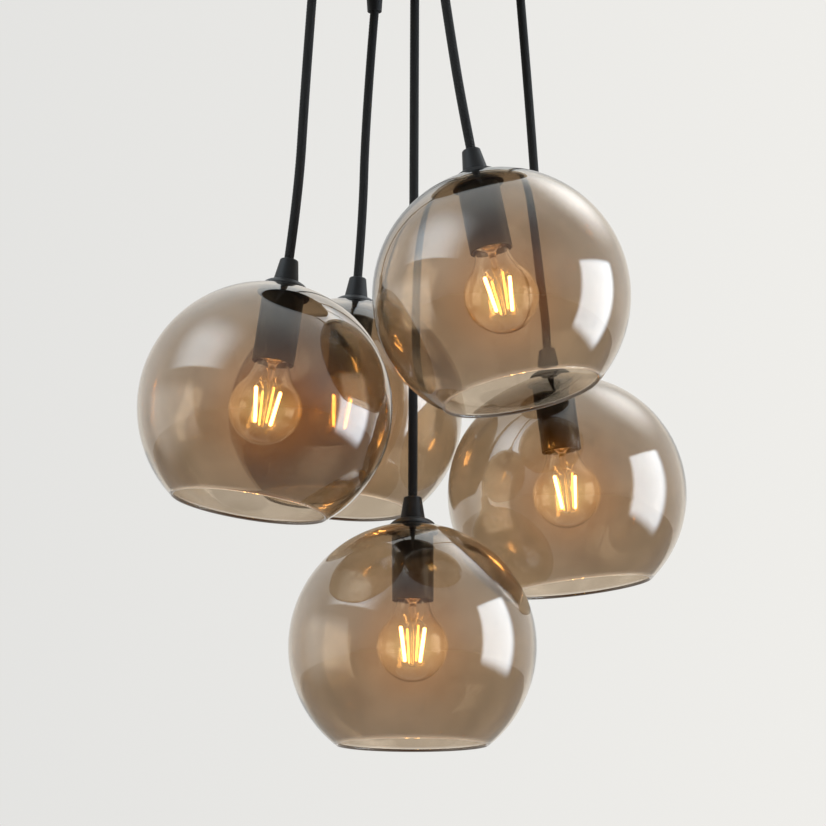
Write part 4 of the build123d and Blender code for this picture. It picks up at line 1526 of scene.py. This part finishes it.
@dataclass(frozen=True)
class Studio:
    """Pale floor and backdrop, soft boxes and the camera of the photograph."""

    camera_place: Point = (-0.0012, -1.7594, -0.6672)
    camera_pitch: float = 10.60
    focal_pixels: float = 2810.0
    picture_pixels: float = 826.0
    sensor: float = 36.0
    floor_height: float = -2.4
    floor_reach: float = 12.0
    floor_lift: float = 0.5
    cool_wall: Colour = (0.775, 0.772, 0.755)
    warm_wall: Colour = (0.862, 0.852, 0.822)
    overhead: Colour = (1.30, 1.42, 1.50)
    sides: Colour = (1.30, 1.36, 1.38)
    room: Colour = (0.58, 0.66, 0.72)
    room_floor: Colour = (0.10, 0.10, 0.10)
    soft_light: Colour = (0.80, 0.80, 0.80)
    soft_strength: float = 0.55

    def camera(self) -> None:
        """Camera at the photograph's place: its lens is sensor times focal pixels over picture pixels."""
        data = bpy.data.cameras.new("photograph_camera")
        data.sensor_width = self.sensor
        data.lens = self.sensor * self.focal_pixels / self.picture_pixels
        data.clip_start = 0.01
        made = bpy.data.objects.new("photograph_camera", data)
        made.location = self.camera_place
        made.rotation_euler = (radians(90 + self.camera_pitch), 0, 0)
        bpy.context.scene.collection.objects.link(made)
        bpy.context.scene.camera = made

    def floor(self) -> None:
        """Pale floor on which only the light and the object's shadow show, brighter to the camera alone."""
        reach = self.floor_reach
        mesh = bpy.data.meshes.new("studio_floor")
        corners = [(-reach, -reach), (reach, -reach), (reach, reach), (-reach, reach)]
        mesh.from_pydata([(x, y, self.floor_height) for x, y in corners], [], [(0, 1, 2, 3)])
        bench, material, shader = opened("pale_floor")
        grain = bench.group(Group.FINE_GRAIN, Scale=40.0)
        tone = bench.blend(grain.outputs["Shade"], (0.78, 0.775, 0.76), (0.80, 0.795, 0.78))
        lift = bench.math("MULTIPLY", bench.add("LightPath").outputs["Is Camera Ray"], self.floor_lift)
        bench.feed(shader, {"Base Color": tone, "Emission Color": tone, "Emission Strength": lift, "Roughness": 0.9})
        mesh.materials.append(material)
        made = bpy.data.objects.new("studio_floor", mesh)
        bpy.context.scene.collection.objects.link(made)

    def backdrop(self) -> None:
        """World: the pale backdrop for what the camera, gloss and glass see, dimmer light for the rest.

        The backdrop's colour goes from a cooler to a brighter, warmer grey by the sine of the
        direction's angle to the right. Glossy surfaces show the room behind the camera dimmer than
        the backdrop, dimmest below the horizon, and brighter reflectors on both sides and overhead.
        """
        world = bpy.data.worlds.new("pale_backdrop")
        world.use_nodes = True
        bpy.context.scene.world = world
        world.node_tree.nodes.clear()
        bench = NodeBench(world.node_tree)
        right, away, up = bench.parts(bench.place("Generated"))
        paths = bench.add("LightPath").outputs
        glossy = paths["Is Glossy Ray"]
        seen = bench.math("MAXIMUM", paths["Is Camera Ray"], glossy)
        seen = bench.math("MAXIMUM", seen, paths["Is Transmission Ray"])
        low = bench.ramp(up, 0.45, -0.45, smooth=True)
        wide = bench.ramp(bench.math("ABSOLUTE", right), 0.35, 0.9, smooth=True)
        colour = bench.blend(bench.ramp(right, -0.15, 0.15), self.cool_wall, self.warm_wall)
        reflected = (
            (bench.ramp(up, 0.4, 0.85, smooth=True), self.overhead),
            (bench.ramp(away, -0.1, -0.7, smooth=True), bench.blend(low, self.room, self.room_floor)),
            (bench.math("MULTIPLY", wide, bench.math("SUBTRACT", 1.0, low)), self.sides),
        )
        for share, light in reflected:
            colour = bench.blend(bench.math("MULTIPLY", share, glossy), colour, light)
        bright = bench.add("Background", {"Color": colour, "Strength": 1.0})
        soft = bench.add("Background", {"Color": rgba(self.soft_light), "Strength": self.soft_strength})
        mix = bench.add("MixShader", {0: seen, 1: soft.outputs[0], 2: bright.outputs[0]})
        bench.add("OutputWorld", {"Surface": mix.outputs[0]})

    def build(self) -> None:
        """Sets up floor, backdrop, lamps, camera and the settings that glass needs."""
        self.floor()
        self.backdrop()
        self.camera()
        for lamp in SOFT_BOXES:
            lamp.build()
        scene = bpy.context.scene
        scene.view_settings.view_transform = "Standard"
        scene.cycles.max_bounces = 48
        scene.cycles.transmission_bounces = 48
        scene.cycles.transparent_max_bounces = 32
        scene.cycles.glossy_bounces = 8


SOFT_BOXES = (
    SoftBox(
        "right_soft_box", (1.0, -0.09, -0.36), (0.0, -0.09, -0.36),
        0.80, 0.95, 22.5, (0.77, 0.89, 1.02), (0.12, 0.2, 0.2, 0.05),
    ),
    SoftBox(
        "left_soft_box", (-1.2, 0.0, -0.50), (0.0, 0.0, -0.44),
        1.45, 1.10, 7.5, (1.0, 0.99, 0.94), (0.4, 0.07, 0.45, 0.25),
    ),
    SoftBox(
        "high_left_window", (-1.0, -0.465, 0.783), CLUSTER_MIDDLE,
        2.0, 1.25, 40.0, (0.74, 0.87, 1.0), (0.52, 0.42, 0.04, 0.6),
    ),
    SoftBox(
        "high_back_lamp", (0.80, 0.50, 0.80), CLUSTER_MIDDLE,
        1.5, 1.3, 20.0, (0.90, 0.95, 1.0), (0.48, 0.48, 0.48, 0.48),
    ),
)

PENDANTS = (
    Pendant(
        "left",
        (-0.587, -0.474, -2.237),
        -8.5,
        -1.9,
        28.0,
        0.2492,
        (
            (-0.0627, -0.0559, -0.0440),
            (-0.0685, -0.0629, -0.1332),
            (-0.0727, -0.0697, -0.2224),
            (-0.0830, -0.0720, -0.2916),
        ),
    ),
    Pendant(
        "back",
        (-0.298, 0.478, -2.087),
        -5.0,
        -2.9,
        40.0,
        0.2245,
        (
            (-0.0275, 0.0794, -0.0440),
            (-0.0335, 0.0804, -0.1211),
            (-0.0353, 0.0810, -0.1982),
            (-0.0414, 0.0775, -0.2679),
        ),
    ),
    Pendant(
        "low",
        (-0.010, -0.006, -3.122),
        -0.1,
        -1.3,
        25.0,
        0.3850,
        ((0.0, 0.0, -0.0440), (-0.0013, 0.0020, -0.3571), (-0.0015, 0.0004, -0.4290)),
    ),
    Pendant(
        "front",
        (0.334, -0.690, -1.837),
        10.9,
        -3.9,
        22.0,
        0.1892,
        (
            (0.0123, -0.0831, -0.0440),
            (0.0207, -0.0910, -0.1080),
            (0.0300, -0.0998, -0.1719),
            (0.0412, -0.1038, -0.2297),
        ),
    ),
    Pendant(
        "right",
        (0.637, 0.355, -2.446),
        6.7,
        0.0,
        33.0,
        0.2812,
        (
            (0.0708, 0.0451, -0.0440),
            (0.0790, 0.0504, -0.1492),
            (0.0844, 0.0554, -0.2545),
            (0.0926, 0.0554, -0.3240),
        ),
    ),
)


def main() -> None:
    """Loads the frame, then builds the canopy, the five pendants and the studio in order."""
    logging.basicConfig(level=logging.INFO, format="%(message)s")
    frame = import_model()
    nodes = frame["nodes"]
    workshop = Workshop()
    Canopy(tuple(pendant.route[0][:2] for pendant in PENDANTS)).build(workshop, nodes)
    for number, pendant in enumerate(PENDANTS):
        PendantBuilder(workshop, pendant, number).build(nodes)
    Studio().build()
    bpy.context.view_layer.update()


if __name__ == "__main__":
    main()
